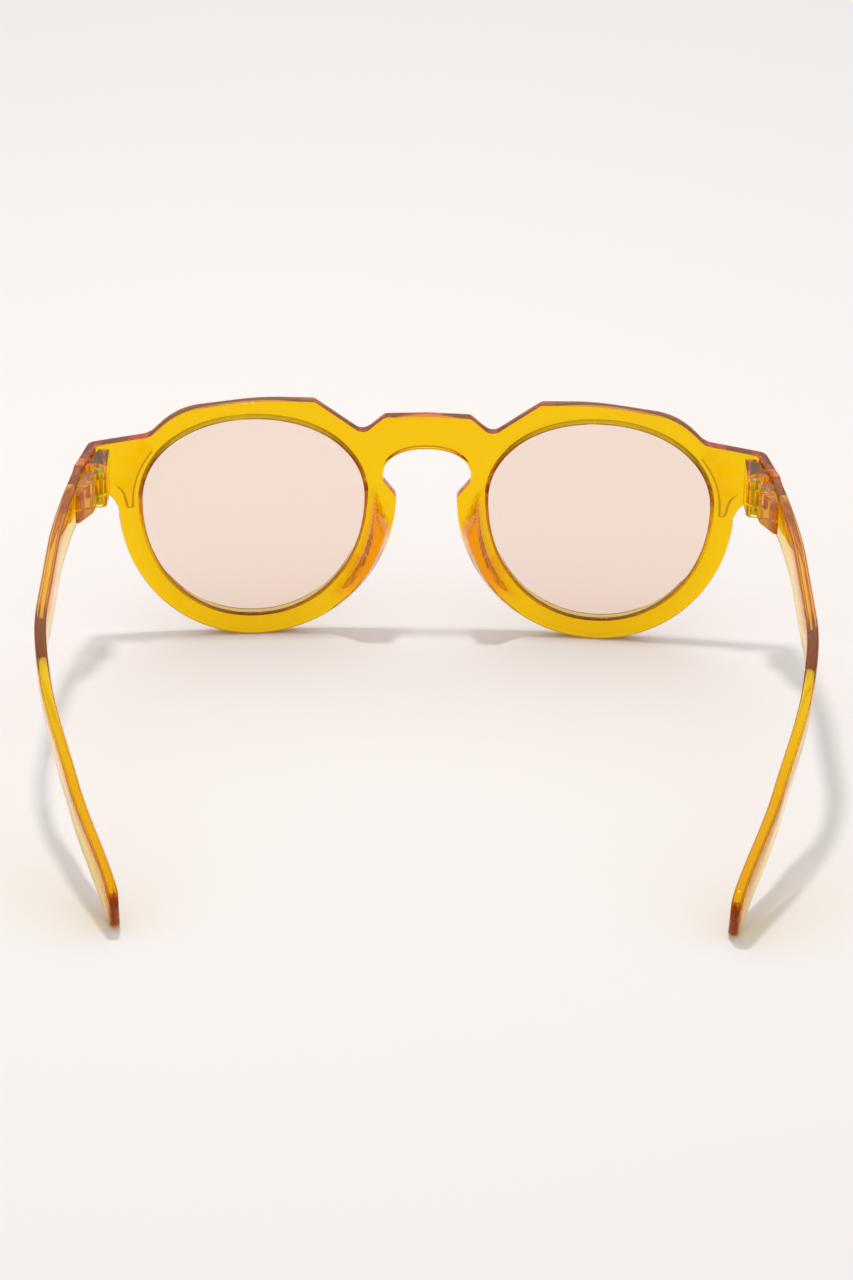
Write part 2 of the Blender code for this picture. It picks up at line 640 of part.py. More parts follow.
def add_object(name, points, faces, material, pivot=None):
    """A solid object from points in millimetres. Under a pivot empty its points are kept relative to it."""
    placed = np.array(points) * MM - (0, HALF_LENGTH * MM, 0)
    if pivot:
        placed = placed - np.array(pivot.location)
    mesh = bpy.data.meshes.new(name)
    mesh.from_pydata([tuple(point) for point in placed], [], faces)
    cleaned = bmesh.new()
    cleaned.from_mesh(mesh)
    bmesh.ops.recalc_face_normals(cleaned, faces=cleaned.faces)
    cleaned.to_mesh(mesh)
    cleaned.free()
    mesh.shade_smooth()
    mesh.set_sharp_from_angle(angle=math.radians(SHARP_ANGLE_DEG))
    mesh.materials.append(material)
    obj = bpy.data.objects.new(name, mesh)
    obj.parent = pivot
    bpy.context.scene.collection.objects.link(obj)
    return obj


def prism(plan, low, high):
    """Points and faces of an upright prism over a plan outline. high is its top, or each point's own top."""
    count = len(plan)
    tops = np.broadcast_to(high, count)
    points = [(x, y, low) for x, y in plan] + [(x, y, top) for (x, y), top in zip(plan, tops)]
    faces = [tuple(range(count)), tuple(range(count, 2 * count))]
    faces += [(i, (i + 1) % count, count + (i + 1) % count, count + i) for i in range(count)]
    return points, faces


def circle(centre, radius, start_deg=0.0, end_deg=360.0):
    """Points of a circle, or of an arc of it."""
    whole = end_deg - start_deg >= 360
    count = max(2, round(ROUND_SIDES * (end_deg - start_deg) / 360))
    return [(centre[0] + radius * math.cos(math.radians(start_deg + (end_deg - start_deg) * i / count)),
             centre[1] + radius * math.sin(math.radians(start_deg + (end_deg - start_deg) * i / count)))
            for i in range(count + (0 if whole else 1))]


def combine(target, operation, name, shape, pivot=None):
    """Joins a shape to the target or cuts it out, with a Boolean modifier."""
    helper = add_object(name, *shape, target.data.materials[0], pivot)
    helper.hide_render = True
    helper.display_type = "WIRE"
    modifier = target.modifiers.new(name, "BOOLEAN")
    modifier.operation = operation
    modifier.solver = "EXACT"
    modifier.object = helper


def round_edges(obj, width):
    """Rounds the object's crisp edges, after its Booleans."""
    bevel = obj.modifiers.new("rounded_edges", "BEVEL")
    bevel.width = width * MM
    bevel.segments = 2
    bevel.limit_method = "ANGLE"
    bevel.angle_limit = math.radians(ROUNDED_ANGLE_DEG)


def mirrored_plan(plan, side):
    return [(side * x, y) for x, y in plan]


def add_front_hinge(side, label, material):
    """Block in the end piece's inner corner, with a knuckle above and one below the temple's."""
    axis = (side * AXIS_X, AXIS_Y)
    outer_x = (SEAM_INNER_X - BLOCK_WALL_GAP, INNER_CORNER[0] - BLOCK_WALL_GAP)
    block = mirrored_plan([(outer_x[0], BLOCK_BACK_Y), (BLOCK_INNER_X, BLOCK_BACK_Y),
                           (BLOCK_INNER_X, BLOCK_FRONT_Y), (outer_x[1], BLOCK_FRONT_Y)], side)
    block_tops = (HINGE_TOP, HINGE_TOP, BLOCK_FRONT_TOP, BLOCK_FRONT_TOP)
    hinge = add_object(f"front_hinge_{label}", *prism(block, HINGE_BOTTOM, block_tops), material)
    knuckles = prism(circle(axis, KNUCKLE_RADIUS), HINGE_BOTTOM, HINGE_TOP)
    combine(hinge, "UNION", f"front_knuckles_{label}", knuckles)
    room = prism(circle(axis, KNUCKLE_RADIUS + GAP), KNUCKLE_LOW - GAP, KNUCKLE_HIGH + GAP)
    combine(hinge, "DIFFERENCE", f"knuckle_room_{label}", room)
    bore = prism(circle(axis, SCREW_RADIUS + GAP), HINGE_BOTTOM - CUTTER_EXTRA, HINGE_TOP + CUTTER_EXTRA)
    combine(hinge, "DIFFERENCE", f"front_bore_{label}", bore)
    counterbore = prism(circle(axis, SCREW_HEAD_RADIUS + GAP), SCREW_HEAD_LOW - GAP, HINGE_TOP + CUTTER_EXTRA)
    combine(hinge, "DIFFERENCE", f"counterbore_{label}", counterbore)
    round_edges(hinge, HINGE_ROUNDING)


def add_temple_hinge(side, label, material, pivot):
    """Leaf along the temple's inner side, with the middle knuckle."""
    axis = (side * AXIS_X, AXIS_Y)
    start_outer, end_outer = [temple_plan(y)[0] - between(TEMPLE_THICKNESSES, y) / 2 - BLOCK_WALL_GAP
                              for y in (LEAF_START_Y, LEAF_END_Y)]
    leaf = [(LEAF_INNER_X, LEAF_START_Y), (start_outer, LEAF_START_Y), (end_outer, LEAF_END_Y),
            (end_outer - LEAF_END_THICKNESS, LEAF_END_Y), LEAF_SHOULDER]
    tops = [temple_top(y)[0] - LEAF_BELOW_TOP for x, y in leaf]
    hinge = add_object(f"temple_hinge_{label}", *prism(mirrored_plan(leaf, side), LEAF_BOTTOM, tops),
                       material, pivot)
    web = circle((AXIS_X, AXIS_Y), KNUCKLE_RADIUS, WEB_START_DEG, WEB_END_DEG)
    web += [(start_outer - WEB_INSET, LEAF_START_Y + WEB_REACH), (LEAF_INNER_X + WEB_INSET, LEAF_START_Y + WEB_REACH)]
    combine(hinge, "UNION", f"temple_knuckle_{label}",
            prism(mirrored_plan(web, side), KNUCKLE_LOW, KNUCKLE_HIGH), pivot)
    bore = prism(circle(axis, SCREW_RADIUS + GAP), HINGE_BOTTOM, HINGE_TOP)
    combine(hinge, "DIFFERENCE", f"temple_bore_{label}", bore, pivot)
    round_edges(hinge, HINGE_ROUNDING)


def add_screw(side, label, material):
    """Slotted hinge screw, from the lower knuckle up to its head in the counterbore."""
    axis = (side * AXIS_X, AXIS_Y)
    head = circle(axis, SCREW_HEAD_RADIUS)
    shaft = circle(axis, SCREW_RADIUS)
    count = len(head)
    levels = ((shaft, SCREW_BOTTOM), (shaft, SCREW_HEAD_LOW), (head, SCREW_HEAD_LOW), (head, SCREW_HEAD_HIGH))
    points = [(x, y, z) for ring, z in levels for x, y in ring]
    faces = [(k * count + i, k * count + (i + 1) % count, (k + 1) * count + (i + 1) % count, (k + 1) * count + i)
             for k in range(len(levels) - 1) for i in range(count)]
    faces += [tuple(range(count)), tuple(range(len(points) - count, len(points)))]
    screw = add_object(f"hinge_screw_{label}", points, faces, material)
    x, y = axis
    reach = SCREW_HEAD_RADIUS + CUTTER_EXTRA
    slot = [(x - reach, y - SLOT_WIDTH / 2), (x + reach, y - SLOT_WIDTH / 2),
            (x + reach, y + SLOT_WIDTH / 2), (x - reach, y + SLOT_WIDTH / 2)]
    slot_cut = prism(slot, SCREW_HEAD_HIGH - SLOT_DEPTH, SCREW_HEAD_HIGH + CUTTER_EXTRA)
    combine(screw, "DIFFERENCE", f"screw_slot_{label}", slot_cut)
    round_edges(screw, SCREW_ROUNDING)


def add_pivot(side, label):
    """Empty on the hinge axis, which carries the temple."""
    pivot = bpy.data.objects.new(f"temple_axis_{label}", None)
    pivot.location = (side * AXIS_X * MM, (AXIS_Y - HALF_LENGTH) * MM, (HINGE_BOTTOM + HINGE_TOP) / 2 * MM)
    bpy.context.scene.collection.objects.link(pivot)
    return pivot


def main():
    clear_scene()
    amber = make_material("amber_plastic", AMBER, 0.08, transmission=0.9)
    hinge_amber = make_material("amber_hinge_plastic", AMBER, 0.15, transmission=0.9)
    tint = make_material("lens_tint", LENS_TINT, 0.03, transmission=1.0)
    steel = make_material("steel", STEEL, 0.3, metallic=1.0)
    add_object("front_frame", *front_points(), amber)
    for side, label in ((1, "left"), (-1, "right")):
        pivot = add_pivot(side, label)
        add_object(f"lens_{label}", *lens_points(side), tint)
        add_object(f"temple_{label}", *temple_points(side), amber, pivot)
        add_front_hinge(side, label, hinge_amber)
        add_temple_hinge(side, label, hinge_amber, pivot)
        add_screw(side, label, steel)


main()
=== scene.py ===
"""Looks for the amber sunglasses: finely shaped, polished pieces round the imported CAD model.

The front is drawn flat, as if it were unrolled: s runs along its front surface from the middle of the
bridge, z is the height, and t is the depth behind the front surface. bend() then wraps it round the
face. Shapes are in millimetres, with y from the front's foremost point, until add_piece() places them
in the frame in metres.
"""

import math

import bmesh
import bpy
import numpy as np
from mathutils import Matrix, Vector
from mathutils.geometry import delaunay_2d_cdt


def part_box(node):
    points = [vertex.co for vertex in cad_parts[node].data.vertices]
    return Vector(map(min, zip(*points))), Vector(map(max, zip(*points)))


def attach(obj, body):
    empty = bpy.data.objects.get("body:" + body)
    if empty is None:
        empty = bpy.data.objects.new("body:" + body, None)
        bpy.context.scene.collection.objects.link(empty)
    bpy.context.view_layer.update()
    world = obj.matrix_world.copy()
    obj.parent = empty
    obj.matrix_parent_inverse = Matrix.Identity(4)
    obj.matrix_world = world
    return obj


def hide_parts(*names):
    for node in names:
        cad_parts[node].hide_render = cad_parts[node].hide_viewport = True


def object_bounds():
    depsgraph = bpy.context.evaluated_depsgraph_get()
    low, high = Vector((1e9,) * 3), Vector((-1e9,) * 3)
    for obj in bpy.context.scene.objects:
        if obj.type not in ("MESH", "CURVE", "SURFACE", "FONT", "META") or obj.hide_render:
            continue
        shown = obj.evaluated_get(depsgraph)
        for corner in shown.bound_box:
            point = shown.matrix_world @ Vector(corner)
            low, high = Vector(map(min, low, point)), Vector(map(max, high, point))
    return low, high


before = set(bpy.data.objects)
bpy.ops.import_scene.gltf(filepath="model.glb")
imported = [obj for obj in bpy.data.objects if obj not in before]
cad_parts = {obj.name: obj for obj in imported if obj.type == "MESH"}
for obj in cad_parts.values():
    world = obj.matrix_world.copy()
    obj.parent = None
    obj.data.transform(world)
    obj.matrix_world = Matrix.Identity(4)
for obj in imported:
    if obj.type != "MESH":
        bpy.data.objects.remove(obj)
cad_low, cad_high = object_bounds()

MM = 0.001

# Places that the frame gives, in millimetres
FRONT_LOW, FRONT_HIGH = (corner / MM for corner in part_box("front_frame"))
TEMPLE_LOW, TEMPLE_HIGH = (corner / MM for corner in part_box("temple_left"))
FRONT_Y = FRONT_LOW.y
TEMPLE_START_Y = TEMPLE_LOW.y - FRONT_Y
SEAM_Y = FRONT_HIGH.y - FRONT_Y
SEAM_OUTER_X = FRONT_HIGH.x
SEAM_TOP = TEMPLE_HIGH.z

# Front, seen flat
FRONT_THICKNESS = 3.6
EDGE_RADIUS = 0.35
LOW_EDGE_EXTRA = 0.8
LOW_EDGE_HEIGHTS = (36.0, 24.0)
BACK_EDGE_WIDTH = 0.5
OPENING_EDGE_WIDTH = 0.4
OPENING_EDGE_DEPTH = 0.35
OUTER_EDGE_DEPTH_SHARE = 0.75
SUPPORT_STEP = 0.12
SEAM_EDGE_SHARE = 0.15
SEAM_EDGE_FADE = 2.5
PAD_CORNER_EDGE_SHARE = 0.4
PAD_CORNER_EDGE_FADE = 3.0
WRAP_RADIUS = 400.0
LENS_CENTRE = (36.8, 31.2)
OPENING_HALF_WIDTH = 23.6
OPENING_ABOVE = 17.4
OPENING_BELOW = 26.3
OPENING_SQUARENESS = 2.08
RIM_CENTRE_HEIGHT = 31.0
RIM_OUTER_HALF_WIDTH = 28.7
RIM_NOSE_HALF_WIDTH = 30.3
KEYHOLE_HALF_WIDTH = 9.4
KEYHOLE_CENTRE_HEIGHT = 36.0
KEYHOLE_TOP = 42.0
KEYHOLE_SQUARENESS = 2.2

# End pieces, where the front turns back towards the temples
CORNER_S = 71.3
CORNER_ROUNDING = 1.3
TURN_START_S = 66.0
SEAM_S = 82.6
SEAM_INNER_X = 71.0
INNER_CORNER = (68.9, 9.4)
INNER_CORNER_ROUNDING = 0.5
SEAM_BOTTOM = 32.6

# Nose pads, moulded on the back of the rims
PAD_HEIGHT = 4.8
PAD_LENS_SIDE = (1.3, 2.7)
PAD_NOSE_MARGIN = 0.3
PAD_STEEPNESS = 3.2
PAD_BLEND = 1.0
PAD_TOP_FADE = (6.0, -4.0)
PAD_BOTTOM_FADE = (-58.0, -34.0)
PAD_SLANT_TOP = (11.4, 34.0)
PAD_SLANT_BOTTOM = (8.0, 25.5)
PAD_CORNER = (6.4, 31.2)
PAD_AREA_LOW = (5.0, 3.0)
PAD_AREA_HIGH = (24.0, 42.0)

# Raised lands behind the end pieces
LAND_HEIGHT = 0.8
LAND_LENS_MARGIN = 2.1
LAND_STEP = 0.22
LAND_REACH = 4.5
LAND_SHELF = 0.6
LAND_LENS_ANGLES = range(36, -3, -2)
LAND_FADE_IN = (0.0, 0.06)
LAND_FADE_OUT = (1.0, 0.85)
LAND_ROWS = (-2.0, -1.0, -0.6, -0.2, 0.2, 0.6, 1.0, 2.0)

# Painted shade: dark lines painted into the colour in the steps of the lands and round the lenses
PAINTED_CREASE_SHADE_WIDTH = 0.24
LENS_LINE_PAINTED_SHADE = 0.95
LENS_LINE_PAINTED_SHADE_WIDTH = 0.36
PAINTED_SHADE_TOLERANCE = 0.001

# Lenses and the groove that holds them
GROOVE_MOUTH = 1.15
GROOVE_FLOOR = 0.45
GROOVE_DEPTH = 0.85
LENS_THICKNESS = 1.8
LENS_DOME = 1.2
LENS_IN_GROOVE = 0.5
LENS_EDGE_HALF = 0.25
LENS_FACE_MARGIN = 0.06
LENS_RING_SHARES = (1.0, 0.995, 0.98, 0.95, 0.9, 0.8, 0.68, 0.55, 0.42, 0.28, 0.14)

# Temples
TEMPLE_LENGTH_SLOPE = 8.5
TEMPLE_TIP_SLOPE = 22.89
TEMPLE_BEND_START_Y = 80.0
TEMPLE_BEND_LENGTH = 30.0
TEMPLE_TIP_ROUNDING = 4.0
TEMPLE_CORNER = 0.75
TEMPLE_CORNER_SHARE = 0.3
TEMPLE_START_CORNER = 0.2
TEMPLE_START_FADE = 2.5
TEMPLE_PLAN = ((17.7, 72.0, 0.10), (50.0, 74.45, 0.0), (73.0, 74.45, 0.0), (98.0, 71.6, -0.19),
               (122.0, 64.55, -0.30), (147.7, 55.15, -0.28))
TEMPLE_HEIGHTS = ((17.7, 9.7), (32.0, 8.6), (66.0, 8.7), (96.0, 5.4), (120.0, 9.2), (147.7, 10.5))
TEMPLE_THICKNESSES = ((17.7, 2.0), (28.0, 2.35), (73.0, 2.35), (110.0, 2.2), (147.7, 2.2))
TEMPLE_SETTLING = 10.0
TIP_FULLNESS = 0.97
TIP_HEIGHT_POWER = 2.6
TIP_THICKNESS_POWER = 3.5

# Mesh density
OUTLINE_STEP = 0.9
FINE_STEP = 0.4
GRID_STEP = 1.5
PAD_GRID_STEP = 0.45
ARC_LEAST_STEPS = 4
ROW_SPACING = math.sqrt(0.75)
GRID_HEIGHTS = (1.0, 52.0)
EDGE_CLEARANCE = 0.1
PAD_CLEARANCE = 0.2
PLAIN_CLEARANCE = 0.4
PLAIN_SPACING = 0.6
PLAIN_PAD_SPACING = (0.8, 0.6)
TURN_SPACING = 0.3
TURN_CORNER_COLUMNS = 9
TURN_COLUMNS = (68.5, 75.0, 78.0, 80.5)
TURN_HEIGHTS = (33.6, 43.4)
TURN_ROWS = 12
OPENING_POINTS = 176
BEVEL_ANGLES = (0.0, 15.0, 30.0, 45.0, 60.0, 75.0, 90.0)
TEMPLE_STEP = 1.2
TIP_ANGLES = range(8, 91, 8)
SAME_PLACE = 1e-6
SLIVER_AREA = 1e-5
SHARP_ANGLE = 50.0

# Clear plastics. What a body absorbs is given as the colour that light keeps in it
WHITE = (1.0, 1.0, 1.0, 1.0)
# Painted shade: the dark colour laid into the base colour along the crease lines
PAINTED_SHADE_COLOUR = (0.16, 0.05, 0.01, 1.0)
WARM_GLOSS = (1.0, 0.8, 0.2, 1.0)
GLOSS_LEVEL = 0.36
GLOW_TINT = (1.0, 0.25, 0.02, 1.0)
GLOW_ROUGHNESS = 0.8
SWIRL_STRETCH = (1.0, 1.0, 2.2)
MARKS_SCALE = 420.0
WAVES_SCALE = 55.0
WAVES_HEIGHT = 0.0002
NOISE_RANGE = (0.3, 0.7)
AMBER_DENSITY = 2000.0
AMBER_IOR = 1.53
AMBER_DEEP = (1.0, 0.985, 0.95, 1.0)
AMBER_GLOW = 0.18
AMBER_SWIRL = 40.0
AMBER_ROUGHNESS = (0.0, 0.03)
AMBER_WAVINESS = 0.05
FRONT_ABSORBED = (0.996, 0.937, 0.0, 1.0)
TEMPLE_ABSORBED = (0.996, 0.967, 0.0, 1.0)
HINGE_ABSORBED = (0.998, 0.965, 0.0, 1.0)
HINGE_DEEP = (1.0, 0.93, 0.8, 1.0)
HINGE_GLOW = 0.04
HINGE_SWIRL = 200.0
HINGE_ROUGHNESS = (0.0, 0.06)
HINGE_WAVINESS = 0.15
LENS_DENSITY = 400.0
LENS_IOR = 1.5
LENS_DEEP = (1.0, 0.995, 0.99, 1.0)
LENS_SWIRL = 25.0
LENS_ROUGHNESS = (0.0, 0.01)
LENS_WAVINESS = 0.01
LENS_ABSORBED = (0.876, 0.666, 0.51, 1.0)

# Steel and floor
STEEL_GRAIN_SCALE = 3000.0
STEEL_GRAIN_STRETCH = (1.0, 1.0, 0.15)
STEEL_DARK = (0.42, 0.41, 0.40, 1.0)
STEEL_BRIGHT = (0.74, 0.73, 0.71, 1.0)
STEEL_ROUGHNESS = (0.18, 0.38)
FLOOR_ROUGHNESS = 0.9
FLOOR_GLOSS = 0.1
FLOOR_CLOUD_SCALE = 6.0
FLOOR_DEEP = (0.895, 0.875, 0.865, 1.0)
FLOOR_PALE = (0.905, 0.885, 0.875, 1.0)
FLOOR_REACH = 6.0

# Studio light, in metres and watts
KEY_PLACE = Vector((0.07, -0.08, 0.74))
KEY_SIZE = 0.08
KEY_POWER = 1.85
KEY_COLOUR = (1.0, 0.95, 0.93)
BACKDROP_PLACE = Vector((0.0, -0.9, 0.7))
BACKDROP_AIM = Vector((0.0, -1.0, 0.0))
BACKDROP_SIZE = 1.0
BACKDROP_POWER = 1.2
BACKDROP_COLOUR = (0.95, 0.97, 1.0)
WORLD_COLOUR = (1.0, 0.975, 0.955, 1.0)
WORLD_HORIZON = 0.33
WORLD_OVERHEAD = 0.77
WORLD_RISE = (0.05, 0.5)
CLEAR_BOUNCES = 32
GLOSSY_BOUNCES = 8
DIFFUSE_BOUNCES = 4
BRIGHTEST_BOUNCE = 3.0

# Camera: where it stands and looks, from behind and above
CAMERA_ELEVATION = math.radians(22.6)
CAMERA_YAW = math.radians(0.45)
CAMERA_ROLL = math.radians(1.05)
CAMERA_DISTANCE = 783.0
CAMERA_AIM = (-0.56, -1.35)
CAMERA_LENS = 102.5
CAMERA_CLIP_START = 0.01


# ---------------------------------------------------------------- flat outlines

def smooth_step(value, start, end):
    """0 at start, 1 at end, with a smooth run between them."""
    u = np.clip((value - start) / (end - start), 0.0, 1.0)
    return u * u * (3.0 - 2.0 * u)


def split_segment(start, end):
    """Evenly spaced points from start up to, but without, end."""
    count = max(1, math.ceil(math.dist(start, end) / OUTLINE_STEP))
    return [(start[0] + (end[0] - start[0]) * i / count, start[1] + (end[1] - start[1]) * i / count)
            for i in range(count)]


def fillet(before, corner, after, radius):
    """Points of the arc that rounds a corner."""
    corner = np.array(corner)
    to_before = np.array(before) - corner
    to_after = np.array(after) - corner
    to_before /= np.linalg.norm(to_before)
    to_after /= np.linalg.norm(to_after)
    half_angle = math.acos(np.clip(to_before @ to_after, -1.0, 1.0)) / 2
    reach = radius / math.tan(half_angle)
    bisector = (to_before + to_after) / np.linalg.norm(to_before + to_after)
    centre = corner + bisector * radius / math.sin(half_angle)
    first = corner + to_before * reach - centre
    last = corner + to_after * reach - centre
    sweep = math.atan2(first[0] * last[1] - first[1] * last[0], first @ last)
    count = max(ARC_LEAST_STEPS, math.ceil(abs(sweep) * radius / FINE_STEP))
    points = []
    for i in range(count + 1):
        angle = sweep * i / count
        c, s = math.cos(angle), math.sin(angle)
        points.append((centre[0] + c * first[0] - s * first[1], centre[1] + s * first[0] + c * first[1]))
    return points


def rounded_path(corners):
    """An open path through (s, z, radius) corners, with each inner corner rounded to its radius."""
    path = [corners[0][:2]]
    for i in range(1, len(corners) - 1):
        s, z, radius = corners[i]
        arc = fillet(corners[i - 1][:2], (s, z), corners[i + 1][:2], radius) if radius else [(s, z)]
        path = path[:-1] + split_segment(path[-1], arc[0]) + arc
    return path[:-1] + split_segment(path[-1], corners[-1][:2]) + [corners[-1][:2]]


def ellipse_arc(centre, half_width, half_height, start_deg, end_deg, squareness=2.0):
    """Points of a stretch of an ellipse, or of a squarer one where squareness is over 2."""
    size = math.radians(abs(end_deg - start_deg)) * max(half_width, half_height)
    count = math.ceil(size / OUTLINE_STEP)
    points = []
    for i in range(count + 1):
        angle = math.radians(start_deg + (end_deg - start_deg) * i / count)
        c, s = math.cos(angle), math.sin(angle)
        points.append((centre[0] + half_width * math.copysign(abs(c) ** (2 / squareness), c),
                       centre[1] + half_height * math.copysign(abs(s) ** (2 / squareness), s)))
    return points


def half_outline():
    """The left half of the front's outline, from the top of the bridge outwards and back to its underside."""
    brow = rounded_path([
        (0.0, 49.2, 0), (9.1, 48.9, 1.6), (13.6, 45.1, 2.4), (23.9, 52.3, 1.8), (35.0, 52.65, 60.0),
        (52.5, 50.75, 14.0), (58.6, 45.2, 4.5), (CORNER_S, 43.6, 0), (SEAM_S, SEAM_TOP, 0),
        (SEAM_S, SEAM_BOTTOM, 0), (CORNER_S, 33.2, 0), (65.6, 33.4, 5.0), (65.2, 26.7, 0)])
    rim_centre = (LENS_CENTRE[0], RIM_CENTRE_HEIGHT)
    outer_rim = ellipse_arc(rim_centre, RIM_OUTER_HALF_WIDTH, RIM_CENTRE_HEIGHT, -8, -90)
    nose_rim = ellipse_arc(rim_centre, RIM_NOSE_HALF_WIDTH, RIM_CENTRE_HEIGHT, -90, -177)
    pad_top = rounded_path([nose_rim[-1] + (0,), PAD_CORNER + (1.0,), (9.3, 34.9, 1.5), (9.4, 36.0, 0)])
    arch = ellipse_arc((0.0, KEYHOLE_CENTRE_HEIGHT), KEYHOLE_HALF_WIDTH, KEYHOLE_TOP - KEYHOLE_CENTRE_HEIGHT,
                       0, 90, KEYHOLE_SQUARENESS)
    return brow[:-1] + outer_rim[:-1] + nose_rim[:-1] + pad_top[:-1] + arch


def front_outline():
    """The whole outline as one closed loop."""
    half = np.array(half_outline())
    mirrored = half[-2:0:-1] * (-1, 1)
    return np.vstack([half, mirrored])


def opening_point(angle, grow=0.0):
    """A point on the left lens opening's outline, grown outwards by grow. Angle 0 is away from the nose."""
    c, s = math.cos(angle), math.sin(angle)
    half_height = OPENING_ABOVE if s > 0 else OPENING_BELOW
    power = 2 / OPENING_SQUARENESS
    return (LENS_CENTRE[0] + (OPENING_HALF_WIDTH + grow) * math.copysign(abs(c) ** power, c),
            LENS_CENTRE[1] + (half_height + grow) * math.copysign(abs(s) ** power, s))


def opening_outline(side, grow=0.0):
    """The outline of the lens opening on side +1 (left) or -1 (right), as one closed loop."""
    angles = [2 * math.pi * i / OPENING_POINTS for i in range(OPENING_POINTS)]
    loop = np.array([opening_point(angle, grow) for angle in angles])
    loop[:, 0] *= side
    return loop[::side]


# ---------------------------------------------------------------- thickness of the front

def distance_to(points, loop):
    """The distance of each point to a closed loop."""
    start = loop[None, :, :]
    along = np.roll(loop, -1, axis=0)[None, :, :] - start
    offset = points[:, None, :] - start
    u = np.clip((offset * along).sum(2) / (along * along).sum(2), 0.0, 1.0)
    return np.sqrt(((offset - u[:, :, None] * along) ** 2).sum(2)).min(1)


def inside(points, loop):
    """True for each point inside a closed loop."""
    x, z = points[:, 0][:, None], points[:, 1][:, None]
    x1, z1 = loop[:, 0][None], loop[:, 1][None]
    x2, z2 = np.roll(loop[:, 0], -1)[None], np.roll(loop[:, 1], -1)[None]
    crosses = (z1 > z) != (z2 > z)
    rise = np.where(z2 == z1, 1.0, z2 - z1)
    return (crosses & (x < (x2 - x1) * (z - z1) / rise + x1)).sum(1) % 2 == 1


def pad_height(points, outline):
    """How much the nose pads add behind each flat point. Their tops slant towards the nose."""
    mirrored = np.column_stack([np.abs(points[:, 0]), points[:, 1]])
    from_centre = mirrored - LENS_CENTRE
    angle = np.degrees(np.arctan2(from_centre[:, 1], -from_centre[:, 0]))
    crest = smooth_step(angle, *PAD_TOP_FADE) * smooth_step(angle, *PAD_BOTTOM_FADE)
    ridge = PAD_HEIGHT * crest * smooth_step(distance_to(mirrored, opening_outline(1)), *PAD_LENS_SIDE)
    slant = np.array(PAD_SLANT_BOTTOM) - PAD_SLANT_TOP
    across = np.array([-slant[1], slant[0]]) / np.linalg.norm(slant)
    from_slant = (mirrored - PAD_SLANT_TOP) @ across
    from_edge = distance_to(points, outline) - PAD_NOSE_MARGIN
    nose_side = PAD_STEEPNESS * np.clip(np.minimum(from_slant, from_edge), 0.0, None)
    soft = np.clip(0.5 + 0.5 * (ridge - nose_side) / PAD_BLEND, 0.0, 1.0)
    blended = ridge + (nose_side - ridge) * soft - PAD_BLEND * soft * (1 - soft)
    return np.clip(np.minimum(blended, ridge), 0.0, None)


def land_line():
    """The line that the raised land behind the left end piece steps up along."""
    lens_side = [opening_point(math.radians(angle), LAND_LENS_MARGIN) for angle in LAND_LENS_ANGLES]
    tip_side = rounded_path([lens_side[-1] + (0,), (63.6, 29.9, 0.6), (64.5, 33.7, 3.0), (67.2, 35.8, 0)])
    return np.array(lens_side[:-1] + tip_side)


def land_offset(points):
    """How far each flat point is past the raised land's line, and how strong the land is there."""
    mirrored = np.column_stack([np.abs(points[:, 0]), points[:, 1]])
    line = land_line()
    along = np.diff(line, axis=0)
    offset = mirrored[:, None, :] - line[None, :-1]
    u = np.clip((offset * along).sum(2) / (along * along).sum(1), 0.0, 1.0)
    gap = offset - u[:, :, None] * along
    distance = np.sqrt((gap ** 2).sum(2))
    nearest = distance.argmin(1)
    rows = np.arange(len(points))
    cross = along[nearest, 0] * gap[rows, nearest, 1] - along[nearest, 1] * gap[rows, nearest, 0]
    signed = np.where(cross > 0, distance[rows, nearest], -distance[rows, nearest])
    share = (nearest + u[rows, nearest]) / len(along)
    return signed, smooth_step(share, *LAND_FADE_IN) * smooth_step(share, *LAND_FADE_OUT)


def land_height(points):
    """How much the raised lands add behind each flat point."""
    past, strength = land_offset(points)
    step = smooth_step(past, -LAND_STEP, LAND_STEP)
    return LAND_HEIGHT * strength * step * smooth_step(past, LAND_REACH, LAND_SHELF)


def painted_crease_shade(flat):
    """How much painted shade each point of the front's back face gets: dark lines painted in the lands' step
    and round the lenses.
    """
    past, strength = land_offset(flat[:, :2])
    mirrored = np.column_stack([np.abs(flat[:, 0]), flat[:, 1]])
    from_lens = distance_to(mirrored, opening_outline(1))
    # Painted shade: darkest in the lands' step and at the lens edge, fading with distance
    shade = np.maximum(strength * np.exp(-(past / PAINTED_CREASE_SHADE_WIDTH) ** 2),
                       LENS_LINE_PAINTED_SHADE * np.exp(-(from_lens / LENS_LINE_PAINTED_SHADE_WIDTH) ** 2))
    return np.where(flat[:, 2] > FRONT_THICKNESS / 2 + GROOVE_MOUTH - PAINTED_SHADE_TOLERANCE, shade, 0.0)


def back_thickness(points, outline):
    """Depth of the back surface behind the front surface at each flat point."""
    return FRONT_THICKNESS + pad_height(points, outline) + land_height(points)


# ---------------------------------------------------------------- bending

def wrap(s, t):
    """A flat point on the wrapped part of the front, in plan."""
    angle = s / WRAP_RADIUS
    radius = WRAP_RADIUS - t
    return np.stack([radius * np.sin(angle), WRAP_RADIUS - radius * np.cos(angle)], axis=-1)


def turned_path(s, start, corner, end, rounding):
    """A plan path from start round a corner to end, by its share of the flat length s."""
    first = start + (corner - start) * ((s - TURN_START_S) / (CORNER_S - TURN_START_S))[:, None]
    second = corner + (end - corner) * ((s - CORNER_S) / (SEAM_S - CORNER_S))[:, None]
    before = start + (corner - start) * (1 - rounding / (CORNER_S - TURN_START_S))
    after = corner + (end - corner) * (rounding / (SEAM_S - CORNER_S))
    u = np.clip((s - CORNER_S + rounding) / (2 * rounding), 0.0, 1.0)[:, None]
    curve = (1 - u) ** 2 * before + 2 * u * (1 - u) * corner + u ** 2 * after
    path = np.where((s < CORNER_S)[:, None], first, second)
    return np.where((np.abs(s - CORNER_S) < rounding)[:, None], curve, path)


